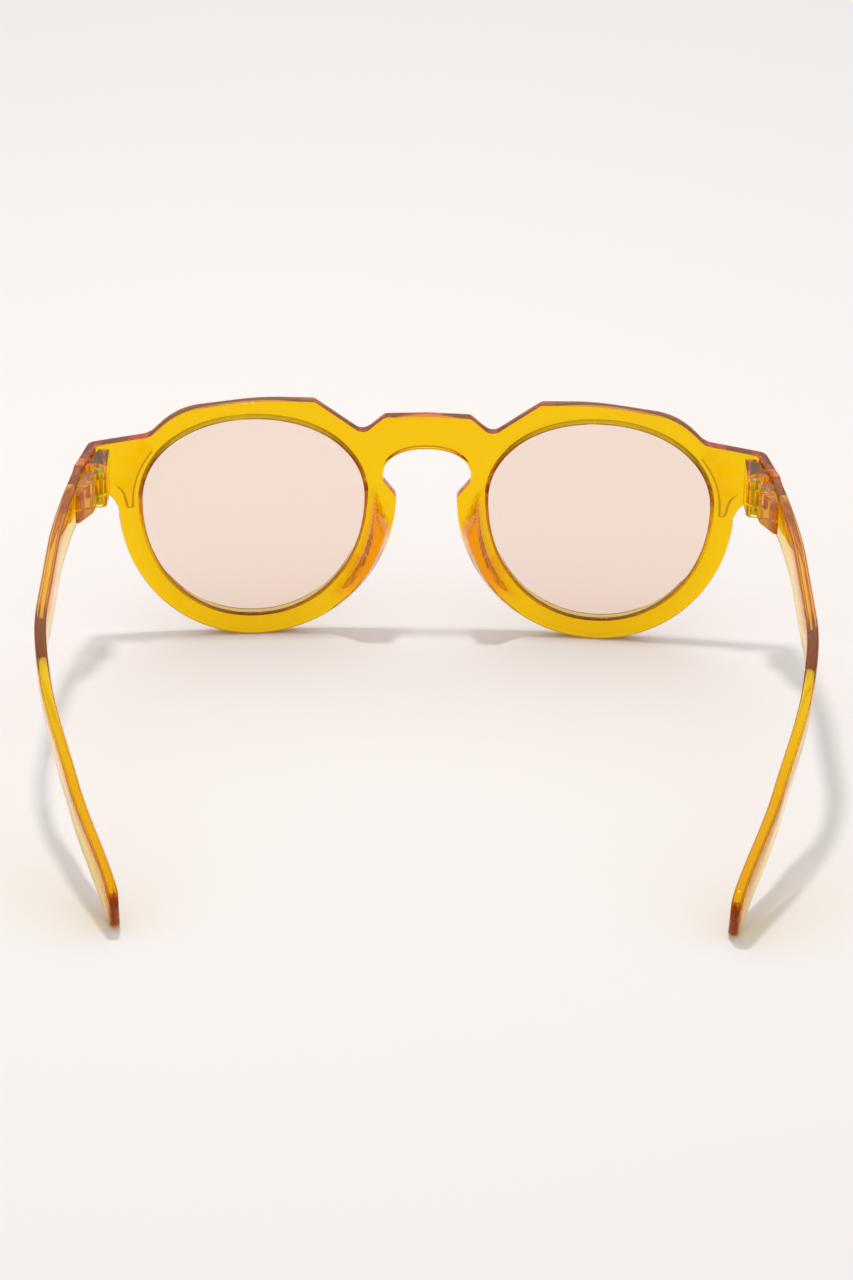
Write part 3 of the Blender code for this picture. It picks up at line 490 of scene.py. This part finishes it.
def bend(flat):
    """Flat (s, z, t) points to their places in space."""
    s, z, t = np.abs(flat[:, 0]), flat[:, 1], flat[:, 2]
    side = np.where(flat[:, 0] < 0, -1.0, 1.0)
    plan = wrap(s, t)
    start = wrap(np.array(TURN_START_S), np.array([0.0, FRONT_THICKNESS]))
    outer = turned_path(s, start[0], wrap(CORNER_S, 0.0), np.array([SEAM_OUTER_X, SEAM_Y]), CORNER_ROUNDING)
    inner = turned_path(s, start[1], np.array(INNER_CORNER), np.array([SEAM_INNER_X, SEAM_Y]),
                        INNER_CORNER_ROUNDING)
    turned = outer + (inner - outer) * (t / FRONT_THICKNESS)[:, None]
    plan = np.where((s > TURN_START_S)[:, None], turned, plan)
    return np.column_stack([plan[:, 0] * side, plan[:, 1], z])


# ---------------------------------------------------------------- mesh building

class FlatMesh:
    """Points given flat, as (s, z, t), and the faces between them."""

    def __init__(self):
        self.points = []
        self.faces = []

    def add(self, plan_points, depths):
        """Adds points and returns their numbers."""
        first = len(self.points)
        self.points += [(s, z, t) for (s, z), t in zip(plan_points, depths)]
        return list(range(first, len(self.points)))

    def join_rings(self, ring_a, ring_b):
        """Quads between two closed rings with as many points each."""
        count = len(ring_a)
        for i in range(count):
            j = (i + 1) % count
            self.faces.append((ring_a[i], ring_a[j], ring_b[j], ring_b[i]))


def inset(loop, distance, towards_left):
    """The loop moved sideways by distance, to the left of its direction or to the right."""
    forward = np.roll(loop, -1, axis=0) - loop
    forward /= np.linalg.norm(forward, axis=1)[:, None]
    backward = np.roll(forward, 1, axis=0)
    both = forward + backward
    normals = np.column_stack([-both[:, 1], both[:, 0]])
    scale = 1 + (forward * backward).sum(1)
    move = normals / scale[:, None] * (1 if towards_left else -1)
    return loop + move * np.broadcast_to(distance, len(loop))[:, None]


def edge_share(loop):
    """How much of the full rounding each edge point gets: less at the crisp seams and tight pad corners."""
    from_seam = SEAM_S - np.abs(loop[:, 0])
    from_corner = np.hypot(np.abs(loop[:, 0]) - PAD_CORNER[0], loop[:, 1] - PAD_CORNER[1])
    at_seam = np.clip(from_seam / SEAM_EDGE_FADE, SEAM_EDGE_SHARE, 1.0)
    return at_seam * np.clip(from_corner / PAD_CORNER_EDGE_FADE, PAD_CORNER_EDGE_SHARE, 1.0)


def is_left_turning(loop):
    """True for a loop whose inside is on its left."""
    following = np.roll(loop, -1, axis=0)
    return (loop[:, 0] * following[:, 1] - following[:, 0] * loop[:, 1]).sum() > 0


def rounded_wall(mesh, loop, material_on_left, outline, back_edge, wall_points):
    """The rounded edges and the wall between them. Returns the rings that bound the back and front faces."""
    share = edge_share(loop)
    width = back_edge[0] * share
    drop = back_edge[1] * share
    radius = EDGE_RADIUS * share
    support = inset(loop, width + SUPPORT_STEP, material_on_left)
    rings = [mesh.add(support, back_thickness(support, outline))]
    for angle in reversed(BEVEL_ANGLES):
        turn = math.radians(angle)
        ring = inset(loop, width * (1 - math.cos(turn)), material_on_left)
        depth = back_thickness(ring, outline) - drop * (1 - math.sin(turn))
        rings.append(mesh.add(ring, depth))
    for deeper, depth in wall_points:
        ring = inset(loop, deeper, material_on_left)
        rings.append(mesh.add(ring, np.full(len(loop), depth)))
    for angle in BEVEL_ANGLES:
        turn = math.radians(angle)
        ring = inset(loop, radius * (1 - math.cos(turn)), material_on_left)
        rings.append(mesh.add(ring, radius * (1 - math.sin(turn))))
    support = inset(loop, radius + SUPPORT_STEP, material_on_left)
    rings.append(mesh.add(support, np.zeros(len(loop))))
    for ring_a, ring_b in zip(rings, rings[1:]):
        mesh.join_rings(ring_a, ring_b)
    return rings[0], rings[-1]


def fill_face(mesh, boundary_rings, extra):
    """Triangles inside the first boundary ring and outside the others, through the extra points."""
    numbers = [n for ring in boundary_rings for n in ring] + extra
    flat = [mesh.points[n][:2] for n in numbers]
    place = {n: i for i, n in enumerate(numbers)}
    edges = [(place[ring[i]], place[ring[(i + 1) % len(ring)]]) for ring in boundary_rings
             for i in range(len(ring))]
    result = delaunay_2d_cdt(flat, edges, [], 0, SAME_PLACE)
    triangles, sources = result[2], result[3]
    corners = np.array([[result[0][i] for i in face] for face in triangles])
    centres = corners.mean(axis=1)
    side_a, side_b = corners[:, 1] - corners[:, 0], corners[:, 2] - corners[:, 0]
    areas = np.abs(side_a[:, 0] * side_b[:, 1] - side_a[:, 1] * side_b[:, 0]) / 2
    loops = [np.array([mesh.points[n][:2] for n in ring]) for ring in boundary_rings]
    keep = inside(centres, loops[0]) & (areas > SLIVER_AREA)
    for loop in loops[1:]:
        keep &= ~inside(centres, loop)
    for face, kept in zip(triangles, keep):
        if kept:
            mesh.faces.append(tuple(numbers[sources[i][0]] for i in face))


def clear_points(candidates, outline, holes, margin):
    """The candidates that lie in the front's material, at least margin from its edges."""
    keep = inside(candidates, outline)
    for hole in holes:
        keep &= ~inside(candidates, hole)
    for loop in [outline] + holes:
        keep &= distance_to(candidates, loop) > margin
    return candidates[keep]


def staggered_grid(low, high, step):
    """Points over a rectangle in staggered rows."""
    rows = np.arange(low[1], high[1], step * ROW_SPACING)
    return np.array([(s + (step / 2 if i % 2 else 0.0), z) for i, z in enumerate(rows)
                     for s in np.arange(low[0], high[0], step)])


def turn_points():
    """Columns of points where the front turns back at the end pieces."""
    shares = np.linspace(-1.0, 1.0, TURN_CORNER_COLUMNS)
    columns = [*(CORNER_S + CORNER_ROUNDING * shares), TURN_START_S, *TURN_COLUMNS]
    rows = np.linspace(*TURN_HEIGHTS, TURN_ROWS)
    return np.array([(side * s, z) for s in columns for z in rows for side in (-1, 1)])


def land_points():
    """Points close together along the step of each raised land."""
    line = land_line()
    along = np.gradient(line, axis=0)
    normal = np.column_stack([-along[:, 1], along[:, 0]]) / np.linalg.norm(along, axis=1)[:, None]
    offsets = LAND_STEP * np.array(LAND_ROWS)
    rows = np.vstack([line + normal * offset for offset in offsets])
    return np.vstack([rows, rows * (-1, 1)])


def thinned(points, others, distance):
    """The points that keep that distance from all the others."""
    gaps = np.linalg.norm(points[:, None, :] - others[None, :, :], axis=2)
    return points[gaps.min(1) > distance]


def edge_walls(mesh, outline, holes):
    """The walls round the outline and the holes. Returns the rings that bound the back and front faces."""
    groove = ((0.0, FRONT_THICKNESS / 2 + GROOVE_MOUTH), (GROOVE_DEPTH, FRONT_THICKNESS / 2 + GROOVE_FLOOR),
              (GROOVE_DEPTH, FRONT_THICKNESS / 2 - GROOVE_FLOOR), (0.0, FRONT_THICKNESS / 2 - GROOVE_MOUTH))
    back_rings, front_rings = [], []
    outer_width = BACK_EDGE_WIDTH + LOW_EDGE_EXTRA * smooth_step(outline[:, 1], *LOW_EDGE_HEIGHTS)
    outer_edge = (outer_width, outer_width * OUTER_EDGE_DEPTH_SHARE)
    opening_edge = (OPENING_EDGE_WIDTH, OPENING_EDGE_DEPTH)
    for loop, on_left, edge, wall in [(outline, is_left_turning(outline), outer_edge, ())] + [
            (hole, not is_left_turning(hole), opening_edge, groove) for hole in holes]:
        back, front = rounded_wall(mesh, loop, on_left, outline, edge, wall)
        back_rings.append(back)
        front_rings.append(front)
    return back_rings, front_rings


def inner_points(outline, holes):
    """The points inside the front's back face and inside its front face."""
    margin = BACK_EDGE_WIDTH + LOW_EDGE_EXTRA + SUPPORT_STEP
    turns = clear_points(turn_points(), outline, holes, margin + EDGE_CLEARANCE)
    lands = clear_points(land_points(), outline, holes, margin + EDGE_CLEARANCE)
    plain = staggered_grid((-TURN_START_S, GRID_HEIGHTS[0]), (TURN_START_S, GRID_HEIGHTS[1]), GRID_STEP)
    plain = clear_points(plain, outline, holes, margin + PLAIN_CLEARANCE)
    plain = plain[np.abs(plain[:, 0]) < TURN_START_S - GRID_STEP / 2]
    pads = staggered_grid(PAD_AREA_LOW, PAD_AREA_HIGH, PAD_GRID_STEP)
    pads = clear_points(np.vstack([pads, pads * (-1, 1)]), outline, holes, margin + PAD_CLEARANCE)
    beyond_pads = np.abs(plain[:, 0]) > PAD_AREA_HIGH[0] + PLAIN_PAD_SPACING[0]
    above_pads = plain[:, 1] > PAD_AREA_HIGH[1] + PLAIN_PAD_SPACING[1]
    back_plain = thinned(plain[beyond_pads | above_pads], np.vstack([lands, pads]), PLAIN_SPACING)
    back_extra = np.vstack([back_plain, pads, lands, thinned(turns, lands, TURN_SPACING)])
    return back_extra, np.vstack([plain, turns])


def front_points():
    """Points and faces of the whole front, and how much painted shade each point's crease line gets."""
    mesh = FlatMesh()
    outline = front_outline()
    holes = [opening_outline(1), opening_outline(-1)]
    back_rings, front_rings = edge_walls(mesh, outline, holes)
    back_extra, front_extra = inner_points(outline, holes)
    fill_face(mesh, back_rings, mesh.add(back_extra, back_thickness(back_extra, outline)))
    fill_face(mesh, front_rings, mesh.add(front_extra, np.zeros(len(front_extra))))
    flat = np.array(mesh.points)
    return bend(flat), mesh.faces, painted_crease_shade(flat)


def lens_points(side):
    """Points and faces of one lens: a domed disc with a ridge round its edge that sits in the groove."""
    mesh = FlatMesh()
    middle = FRONT_THICKNESS / 2
    centre = np.array([side * LENS_CENTRE[0], LENS_CENTRE[1]])
    face = opening_outline(side, -LENS_FACE_MARGIN)
    front, back = [], []
    for half, rings in ((-LENS_THICKNESS / 2, front), (LENS_THICKNESS / 2, back)):
        for share in LENS_RING_SHARES:
            depth = middle + half - LENS_DOME * (1 - share ** 2)
            rings.append(mesh.add(centre + (face - centre) * share, np.full(len(face), depth)))
    ridge = opening_outline(side, LENS_IN_GROOVE)
    edge = [mesh.add(ridge, np.full(len(ridge), middle + half)) for half in (-LENS_EDGE_HALF, LENS_EDGE_HALF)]
    rings = front[::-1] + edge + back
    for ring_a, ring_b in zip(rings, rings[1:]):
        mesh.join_rings(ring_a, ring_b)
    for ring, half in ((rings[0], -LENS_THICKNESS / 2), (rings[-1], LENS_THICKNESS / 2)):
        pole = mesh.add([centre], [middle + half - LENS_DOME])[0]
        for i, number in enumerate(ring):
            mesh.faces.append((number, ring[(i + 1) % len(ring)], pole))
    return bend(np.array(mesh.points)), mesh.faces


# ---------------------------------------------------------------- temples

def between(table, y):
    """The value at y of a table of (y, value) rows, with smooth runs between them."""
    for (y_a, value_a), (y_b, value_b) in zip(table, table[1:]):
        if y <= y_b:
            return value_a + (value_b - value_a) * float(smooth_step(y, y_a, y_b))
    return table[-1][1]


def temple_plan(y):
    """How far the temple's middle is from the symmetry plane at y, and its slope there."""
    for (y_a, x_a, slope_a), (y_b, x_b, slope_b) in zip(TEMPLE_PLAN, TEMPLE_PLAN[1:]):
        if y <= y_b:
            break
    length = y_b - y_a
    u = (y - y_a) / length
    x = ((2 * u ** 3 - 3 * u ** 2 + 1) * x_a + (u ** 3 - 2 * u ** 2 + u) * length * slope_a
         + (3 * u ** 2 - 2 * u ** 3) * x_b + (u ** 3 - u ** 2) * length * slope_b)
    slope = ((6 * u ** 2 - 6 * u) * (x_a - x_b) / length + (3 * u ** 2 - 4 * u + 1) * slope_a
             + (3 * u ** 2 - 2 * u) * slope_b)
    return x, slope


def temple_top(y):
    """Height of the temple's top edge at y, and how steeply it falls there."""
    slope = math.tan(math.radians(TEMPLE_LENGTH_SLOPE))
    extra = math.tan(math.radians(TEMPLE_TIP_SLOPE)) - slope
    past = min(max(y - TEMPLE_BEND_START_Y, 0.0), TEMPLE_BEND_LENGTH)
    beyond = max(y - TEMPLE_BEND_START_Y - TEMPLE_BEND_LENGTH, 0.0)
    drop = extra * (past ** 2 / (2 * TEMPLE_BEND_LENGTH) + beyond)
    height = SEAM_TOP - slope * (y - TEMPLE_START_Y) - drop
    return height, slope + extra * past / TEMPLE_BEND_LENGTH


def rounded_section(height, thickness, corner):
    """A rounded rectangle as (across, up) points."""
    points = []
    for sign_a, sign_u, start in ((1, 1, 0), (-1, 1, 90), (-1, -1, 180), (1, -1, 270)):
        for step in BEVEL_ANGLES:
            turn = math.radians(start + step)
            points.append((sign_a * (thickness / 2 - corner) + corner * math.cos(turn),
                           sign_u * (height / 2 - corner) + corner * math.sin(turn)))
    return points


def temple_points(side):
    """Points and faces of one temple: rounded sections along its path, with a rounded tip."""
    last_y = TEMPLE_PLAN[-1][0]
    first_of_tip = last_y - TEMPLE_TIP_ROUNDING
    count = round((first_of_tip - TEMPLE_START_Y) / TEMPLE_STEP)
    stations = list(np.linspace(TEMPLE_START_Y, first_of_tip, count))
    stations += [first_of_tip + TEMPLE_TIP_ROUNDING * math.sin(math.radians(angle)) for angle in TIP_ANGLES]
    points, faces = [], []
    size = 4 * len(BEVEL_ANGLES)
    for y in stations:
        x, plan_slope = temple_plan(y)
        top, fall = temple_top(y)
        tip = max(0.0, (y - first_of_tip) / TEMPLE_TIP_ROUNDING) * TIP_FULLNESS
        height = between(TEMPLE_HEIGHTS, y)
        thickness = between(TEMPLE_THICKNESSES, y)
        settled = float(smooth_step(y, TEMPLE_START_Y, TEMPLE_START_Y + TEMPLE_SETTLING))
        tilt = math.atan(fall) * settled
        lean = math.atan(plan_slope) * settled
        up = np.array([0.0, math.sin(tilt), math.cos(tilt)])
        across = np.array([math.cos(lean), -math.sin(lean), 0.0])
        middle = np.array([x, y, top]) - up * height / 2
        height *= (1 - tip ** TIP_HEIGHT_POWER) ** (1 / TIP_HEIGHT_POWER)
        thickness *= (1 - tip ** TIP_THICKNESS_POWER) ** (1 / TIP_THICKNESS_POWER)
        corner = min(TEMPLE_CORNER, thickness * TEMPLE_CORNER_SHARE)
        corner *= min(1.0, TEMPLE_START_CORNER + (y - TEMPLE_START_Y) / TEMPLE_START_FADE)
        first = len(points)
        points += [middle + across * a + up * u for a, u in rounded_section(height, thickness, corner)]
        if first:
            for i in range(size):
                j = (i + 1) % size
                faces.append((first + i, first + j, first - size + j, first - size + i))
    faces += [tuple(range(size)), tuple(range(len(points) - size, len(points)))]
    return np.array(points) * (side, 1, 1), faces


# ---------------------------------------------------------------- pieces

def add_piece(name, points, faces, material, body, slot, *nodes):
    """A fine piece that rides on a body and stands for CAD nodes."""
    placed = (np.array(points) + (0.0, FRONT_Y, 0.0)) * MM
    mesh = bpy.data.meshes.new(name)
    mesh.from_pydata([tuple(point) for point in placed], [], faces)
    cleaned = bmesh.new()
    cleaned.from_mesh(mesh)
    bmesh.ops.recalc_face_normals(cleaned, faces=cleaned.faces)
    cleaned.to_mesh(mesh)
    cleaned.free()
    mesh.shade_smooth()
    mesh.set_sharp_from_angle(angle=math.radians(SHARP_ANGLE))
    mesh.materials.append(material)
    piece = bpy.data.objects.new(name, mesh)
    bpy.context.scene.collection.objects.link(piece)
    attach(piece, body)
    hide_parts(*nodes)
    piece.cycles.is_caustics_caster = True
    return piece


def finish_node(name, material):
    """A CAD node that stays gets a better material."""
    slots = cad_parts[name].data.materials
    slots.clear()
    slots.append(material)


# ---------------------------------------------------------------- materials

def new_material(name):
    """A material with an empty Principled shader. Returns it, its nodes, its links and the shader."""
    material = bpy.data.materials.new(name)
    material.use_nodes = True
    tree = material.node_tree
    return material, tree.nodes, tree.links, tree.nodes["Principled BSDF"]


def object_noise(nodes, links, scale, detail, stretch=(1.0, 1.0, 1.0)):
    """A noise texture fixed to the piece, with scale in features per metre."""
    place = nodes.new("ShaderNodeTexCoord")
    mapping = nodes.new("ShaderNodeMapping")
    mapping.inputs["Scale"].default_value = stretch
    noise = nodes.new("ShaderNodeTexNoise")
    noise.inputs["Scale"].default_value = scale
    noise.inputs["Detail"].default_value = detail
    links.new(place.outputs["Object"], mapping.inputs["Vector"])
    links.new(mapping.outputs["Vector"], noise.inputs["Vector"])
    return noise


def spread(nodes, links, source, low, high):
    """The source's value over the middle of a noise, spread from low to high."""
    ranged = nodes.new("ShaderNodeMapRange")
    ranged.inputs["From Min"].default_value = NOISE_RANGE[0]
    ranged.inputs["From Max"].default_value = NOISE_RANGE[1]
    ranged.inputs["To Min"].default_value = low
    ranged.inputs["To Max"].default_value = high
    links.new(source.outputs[0], ranged.inputs["Value"])
    return ranged


def add_base_colour(nodes, links, shader, deep, swirl):
    """Slow swirls from white to the deep colour, with painted shade along the crease lines over them."""
    cloud = object_noise(nodes, links, swirl, 3.0, SWIRL_STRETCH)
    blend = nodes.new("ShaderNodeMix")
    blend.data_type = "RGBA"
    blend.inputs["A"].default_value = WHITE
    blend.inputs["B"].default_value = deep
    links.new(spread(nodes, links, cloud, 0.0, 1.0).outputs[0], blend.inputs["Factor"])
    # Painted shade: the crease lines' attribute darkens the base colour
    painted_shade = nodes.new("ShaderNodeAttribute")
    painted_shade.attribute_name = "painted_shade"
    shade_painted = nodes.new("ShaderNodeMix")
    shade_painted.data_type = "RGBA"
    shade_painted.inputs["B"].default_value = PAINTED_SHADE_COLOUR
    links.new(painted_shade.outputs["Fac"], shade_painted.inputs["Factor"])
    links.new(blend.outputs["Result"], shade_painted.inputs["A"])
    links.new(shade_painted.outputs["Result"], shader.inputs["Base Color"])


def add_polish(nodes, links, shader, roughness, waviness):
    """Faint polishing marks in the gloss, and low waves in the surface."""
    marks = object_noise(nodes, links, MARKS_SCALE, 5.0)
    links.new(spread(nodes, links, marks, *roughness).outputs[0], shader.inputs["Roughness"])
    waves = object_noise(nodes, links, WAVES_SCALE, 2.0)
    bump = nodes.new("ShaderNodeBump")
    bump.inputs["Strength"].default_value = waviness
    bump.inputs["Distance"].default_value = WAVES_HEIGHT
    links.new(waves.outputs[0], bump.inputs["Height"])
    links.new(bump.outputs["Normal"], shader.inputs["Normal"])


def add_absorption(nodes, links, absorbed, density):
    """A body that colours light by how far the light goes through it."""
    body = nodes.new("ShaderNodeVolumeAbsorption")
    body.inputs["Color"].default_value = absorbed
    body.inputs["Density"].default_value = density
    links.new(body.outputs["Volume"], nodes["Material Output"].inputs["Volume"])


def amber_plastic(name, absorbed, deep=AMBER_DEEP, swirl=AMBER_SWIRL, roughness=AMBER_ROUGHNESS,
                  waviness=AMBER_WAVINESS, glow=AMBER_GLOW):
    """Clear amber plastic, whose dark parts glow a little."""
    material, nodes, links, shader = new_material(name)
    shader.inputs["Transmission Weight"].default_value = 1.0
    shader.inputs["IOR"].default_value = AMBER_IOR
    shader.inputs["Specular Tint"].default_value = WARM_GLOSS
    shader.inputs["Specular IOR Level"].default_value = GLOSS_LEVEL
    shader.inputs["Sheen Weight"].default_value = glow
    shader.inputs["Sheen Roughness"].default_value = GLOW_ROUGHNESS
    shader.inputs["Sheen Tint"].default_value = GLOW_TINT
    add_base_colour(nodes, links, shader, deep, swirl)
    add_polish(nodes, links, shader, roughness, waviness)
    add_absorption(nodes, links, absorbed, AMBER_DENSITY)
    return material


def peach_lens():
    """Clear plastic with a pale peach tint."""
    material, nodes, links, shader = new_material("peach_lens")
    shader.inputs["Transmission Weight"].default_value = 1.0
    shader.inputs["IOR"].default_value = LENS_IOR
    shader.inputs["Specular IOR Level"].default_value = GLOSS_LEVEL
    add_base_colour(nodes, links, shader, LENS_DEEP, LENS_SWIRL)
    add_polish(nodes, links, shader, LENS_ROUGHNESS, LENS_WAVINESS)
    add_absorption(nodes, links, LENS_ABSORBED, LENS_DENSITY)
    return material


def turned_steel():
    """Fine turned steel with a slight variation in its grey and its polish."""
    material, nodes, links, shader = new_material("turned_steel")
    shader.inputs["Metallic"].default_value = 1.0
    grain = object_noise(nodes, links, STEEL_GRAIN_SCALE, 4.0, STEEL_GRAIN_STRETCH)
    ramp = nodes.new("ShaderNodeValToRGB")
    ramp.color_ramp.elements[0].color = STEEL_DARK
    ramp.color_ramp.elements[1].color = STEEL_BRIGHT
    links.new(grain.outputs[0], ramp.inputs["Fac"])
    links.new(ramp.outputs["Color"], shader.inputs["Base Color"])
    links.new(spread(nodes, links, grain, *STEEL_ROUGHNESS).outputs[0], shader.inputs["Roughness"])
    return material


def pale_floor():
    """A matt, nearly white floor with a faint cloudiness."""
    material, nodes, links, shader = new_material("studio_floor")
    shader.inputs["Roughness"].default_value = FLOOR_ROUGHNESS
    shader.inputs["Specular IOR Level"].default_value = FLOOR_GLOSS
    cloud = object_noise(nodes, links, FLOOR_CLOUD_SCALE, 2.0)
    blend = nodes.new("ShaderNodeMix")
    blend.data_type = "RGBA"
    blend.inputs["A"].default_value = FLOOR_DEEP
    blend.inputs["B"].default_value = FLOOR_PALE
    links.new(cloud.outputs[0], blend.inputs["Factor"])
    links.new(blend.outputs["Result"], shader.inputs["Base Color"])
    return material


# ---------------------------------------------------------------- studio

def add_floor():
    """A wide pale floor, level with what the glasses rest on."""
    corners = [(FLOOR_REACH * x, FLOOR_REACH * y, 0) for x, y in ((-1, -1), (1, -1), (1, 1), (-1, 1))]
    mesh = bpy.data.meshes.new("floor")
    mesh.from_pydata(corners, [], [(0, 1, 2, 3)])
    mesh.materials.append(pale_floor())
    floor = bpy.data.objects.new("floor", mesh)
    floor.location.z = cad_low.z
    bpy.context.scene.collection.objects.link(floor)
    floor.cycles.is_caustics_receiver = True


def add_area_light(name, place, aim, size, power, colour):
    """A round soft light at place, aimed at a point. Its light finds its way through the clear pieces."""
    data = bpy.data.lights.new(name, "AREA")
    data.shape = "DISK"
    data.size = size
    data.energy = power
    data.color = colour
    data.cycles.is_caustics_light = True
    light = bpy.data.objects.new(name, data)
    light.location = place
    light.rotation_euler = (aim - place).to_track_quat("-Z", "Y").to_euler()
    bpy.context.scene.collection.objects.link(light)


def add_world():
    """A room that is brighter overhead than at the horizon, with a pale backdrop for the camera to see."""
    world = bpy.data.worlds.new("studio")
    world.use_nodes = True
    nodes, links = world.node_tree.nodes, world.node_tree.links
    place = nodes.new("ShaderNodeTexCoord")
    axes = nodes.new("ShaderNodeSeparateXYZ")
    rise = nodes.new("ShaderNodeMapRange")
    rise.interpolation_type = "SMOOTHSTEP"
    rise.inputs["From Min"].default_value = WORLD_RISE[0]
    rise.inputs["From Max"].default_value = WORLD_RISE[1]
    rise.inputs["To Min"].default_value = WORLD_HORIZON
    rise.inputs["To Max"].default_value = WORLD_OVERHEAD
    path = nodes.new("ShaderNodeLightPath")
    seen = nodes.new("ShaderNodeMix")
    seen.inputs["B"].default_value = WORLD_OVERHEAD
    background = nodes["Background"]
    background.inputs["Color"].default_value = WORLD_COLOUR
    links.new(place.outputs["Generated"], axes.inputs["Vector"])
    links.new(axes.outputs["Z"], rise.inputs["Value"])
    links.new(path.outputs["Is Camera Ray"], seen.inputs["Factor"])
    links.new(rise.outputs["Result"], seen.inputs["A"])
    links.new(seen.outputs["Result"], background.inputs["Strength"])
    bpy.context.scene.world = world


def add_camera():
    """The camera, behind and above the glasses. It turns about the middle of the front's back face."""
    pivot = Vector((0.0, FRONT_Y + FRONT_THICKNESS, 0.0)) * MM
    turn = Matrix.Rotation(-CAMERA_YAW, 3, "Z")
    back = turn @ Vector((0.0, math.cos(CAMERA_ELEVATION), math.sin(CAMERA_ELEVATION)))
    right = turn @ Vector((-1.0, 0.0, 0.0))
    up = back.cross(right)
    aim = pivot + turn @ Vector((CAMERA_AIM[0], 0.0, CAMERA_AIM[1])) * MM
    rolled_right = right * math.cos(CAMERA_ROLL) + up * math.sin(CAMERA_ROLL)
    rolled_up = up * math.cos(CAMERA_ROLL) - right * math.sin(CAMERA_ROLL)
    camera = bpy.data.objects.new("camera", bpy.data.cameras.new("camera"))
    camera.data.lens = CAMERA_LENS
    camera.data.clip_start = CAMERA_CLIP_START
    camera.matrix_world = Matrix.Translation(aim + back * CAMERA_DISTANCE * MM) @ Matrix(
        (rolled_right, rolled_up, back)).transposed().to_4x4()
    bpy.context.scene.collection.objects.link(camera)
    bpy.context.scene.camera = camera


def set_light_paths():
    """Enough bounces for light to find its way through the clear pieces."""
    scene = bpy.context.scene
    scene.cycles.max_bounces = CLEAR_BOUNCES
    scene.cycles.transmission_bounces = CLEAR_BOUNCES
    scene.cycles.glossy_bounces = GLOSSY_BOUNCES
    scene.cycles.diffuse_bounces = DIFFUSE_BOUNCES
    scene.cycles.sample_clamp_indirect = BRIGHTEST_BOUNCE
    scene.view_settings.view_transform = "Standard"


# ---------------------------------------------------------------- the object

def main():
    """Every piece of the glasses, with its material."""
    amber = amber_plastic("amber_front_plastic", FRONT_ABSORBED)
    temple_amber = amber_plastic("amber_temple_plastic", TEMPLE_ABSORBED)
    hinge_amber = amber_plastic("amber_hinge_plastic", HINGE_ABSORBED, HINGE_DEEP, HINGE_SWIRL,
                                HINGE_ROUGHNESS, HINGE_WAVINESS, HINGE_GLOW)
    tint = peach_lens()
    steel = turned_steel()
    points, faces, painted_shades = front_points()
    front = add_piece("front", points, faces, amber, "front", "amber_plastic", "front_frame")
    # Painted shade for the crease lines, kept on the front's points
    front.data.attributes.new("painted_shade", "FLOAT", "POINT").data.foreach_set("value", painted_shades)
    for side, label in ((1, "left"), (-1, "right")):
        add_piece(f"lens_{label}_clear", *lens_points(side), tint, "front", "lens", f"lens_{label}")
        add_piece(f"temple_{label}_polished", *temple_points(side), temple_amber, f"temple_{label}",
                  "amber_plastic", f"temple_{label}")
        finish_node(f"front_hinge_{label}", hinge_amber)
        finish_node(f"temple_hinge_{label}", hinge_amber)
        finish_node(f"hinge_screw_{label}", steel)


main()
add_floor()
add_area_light("key", KEY_PLACE, (cad_low + cad_high) / 2, KEY_SIZE, KEY_POWER, KEY_COLOUR)
add_area_light("backdrop_light", BACKDROP_PLACE, BACKDROP_AIM, BACKDROP_SIZE, BACKDROP_POWER, BACKDROP_COLOUR)
add_world()
add_camera()
set_light_paths()
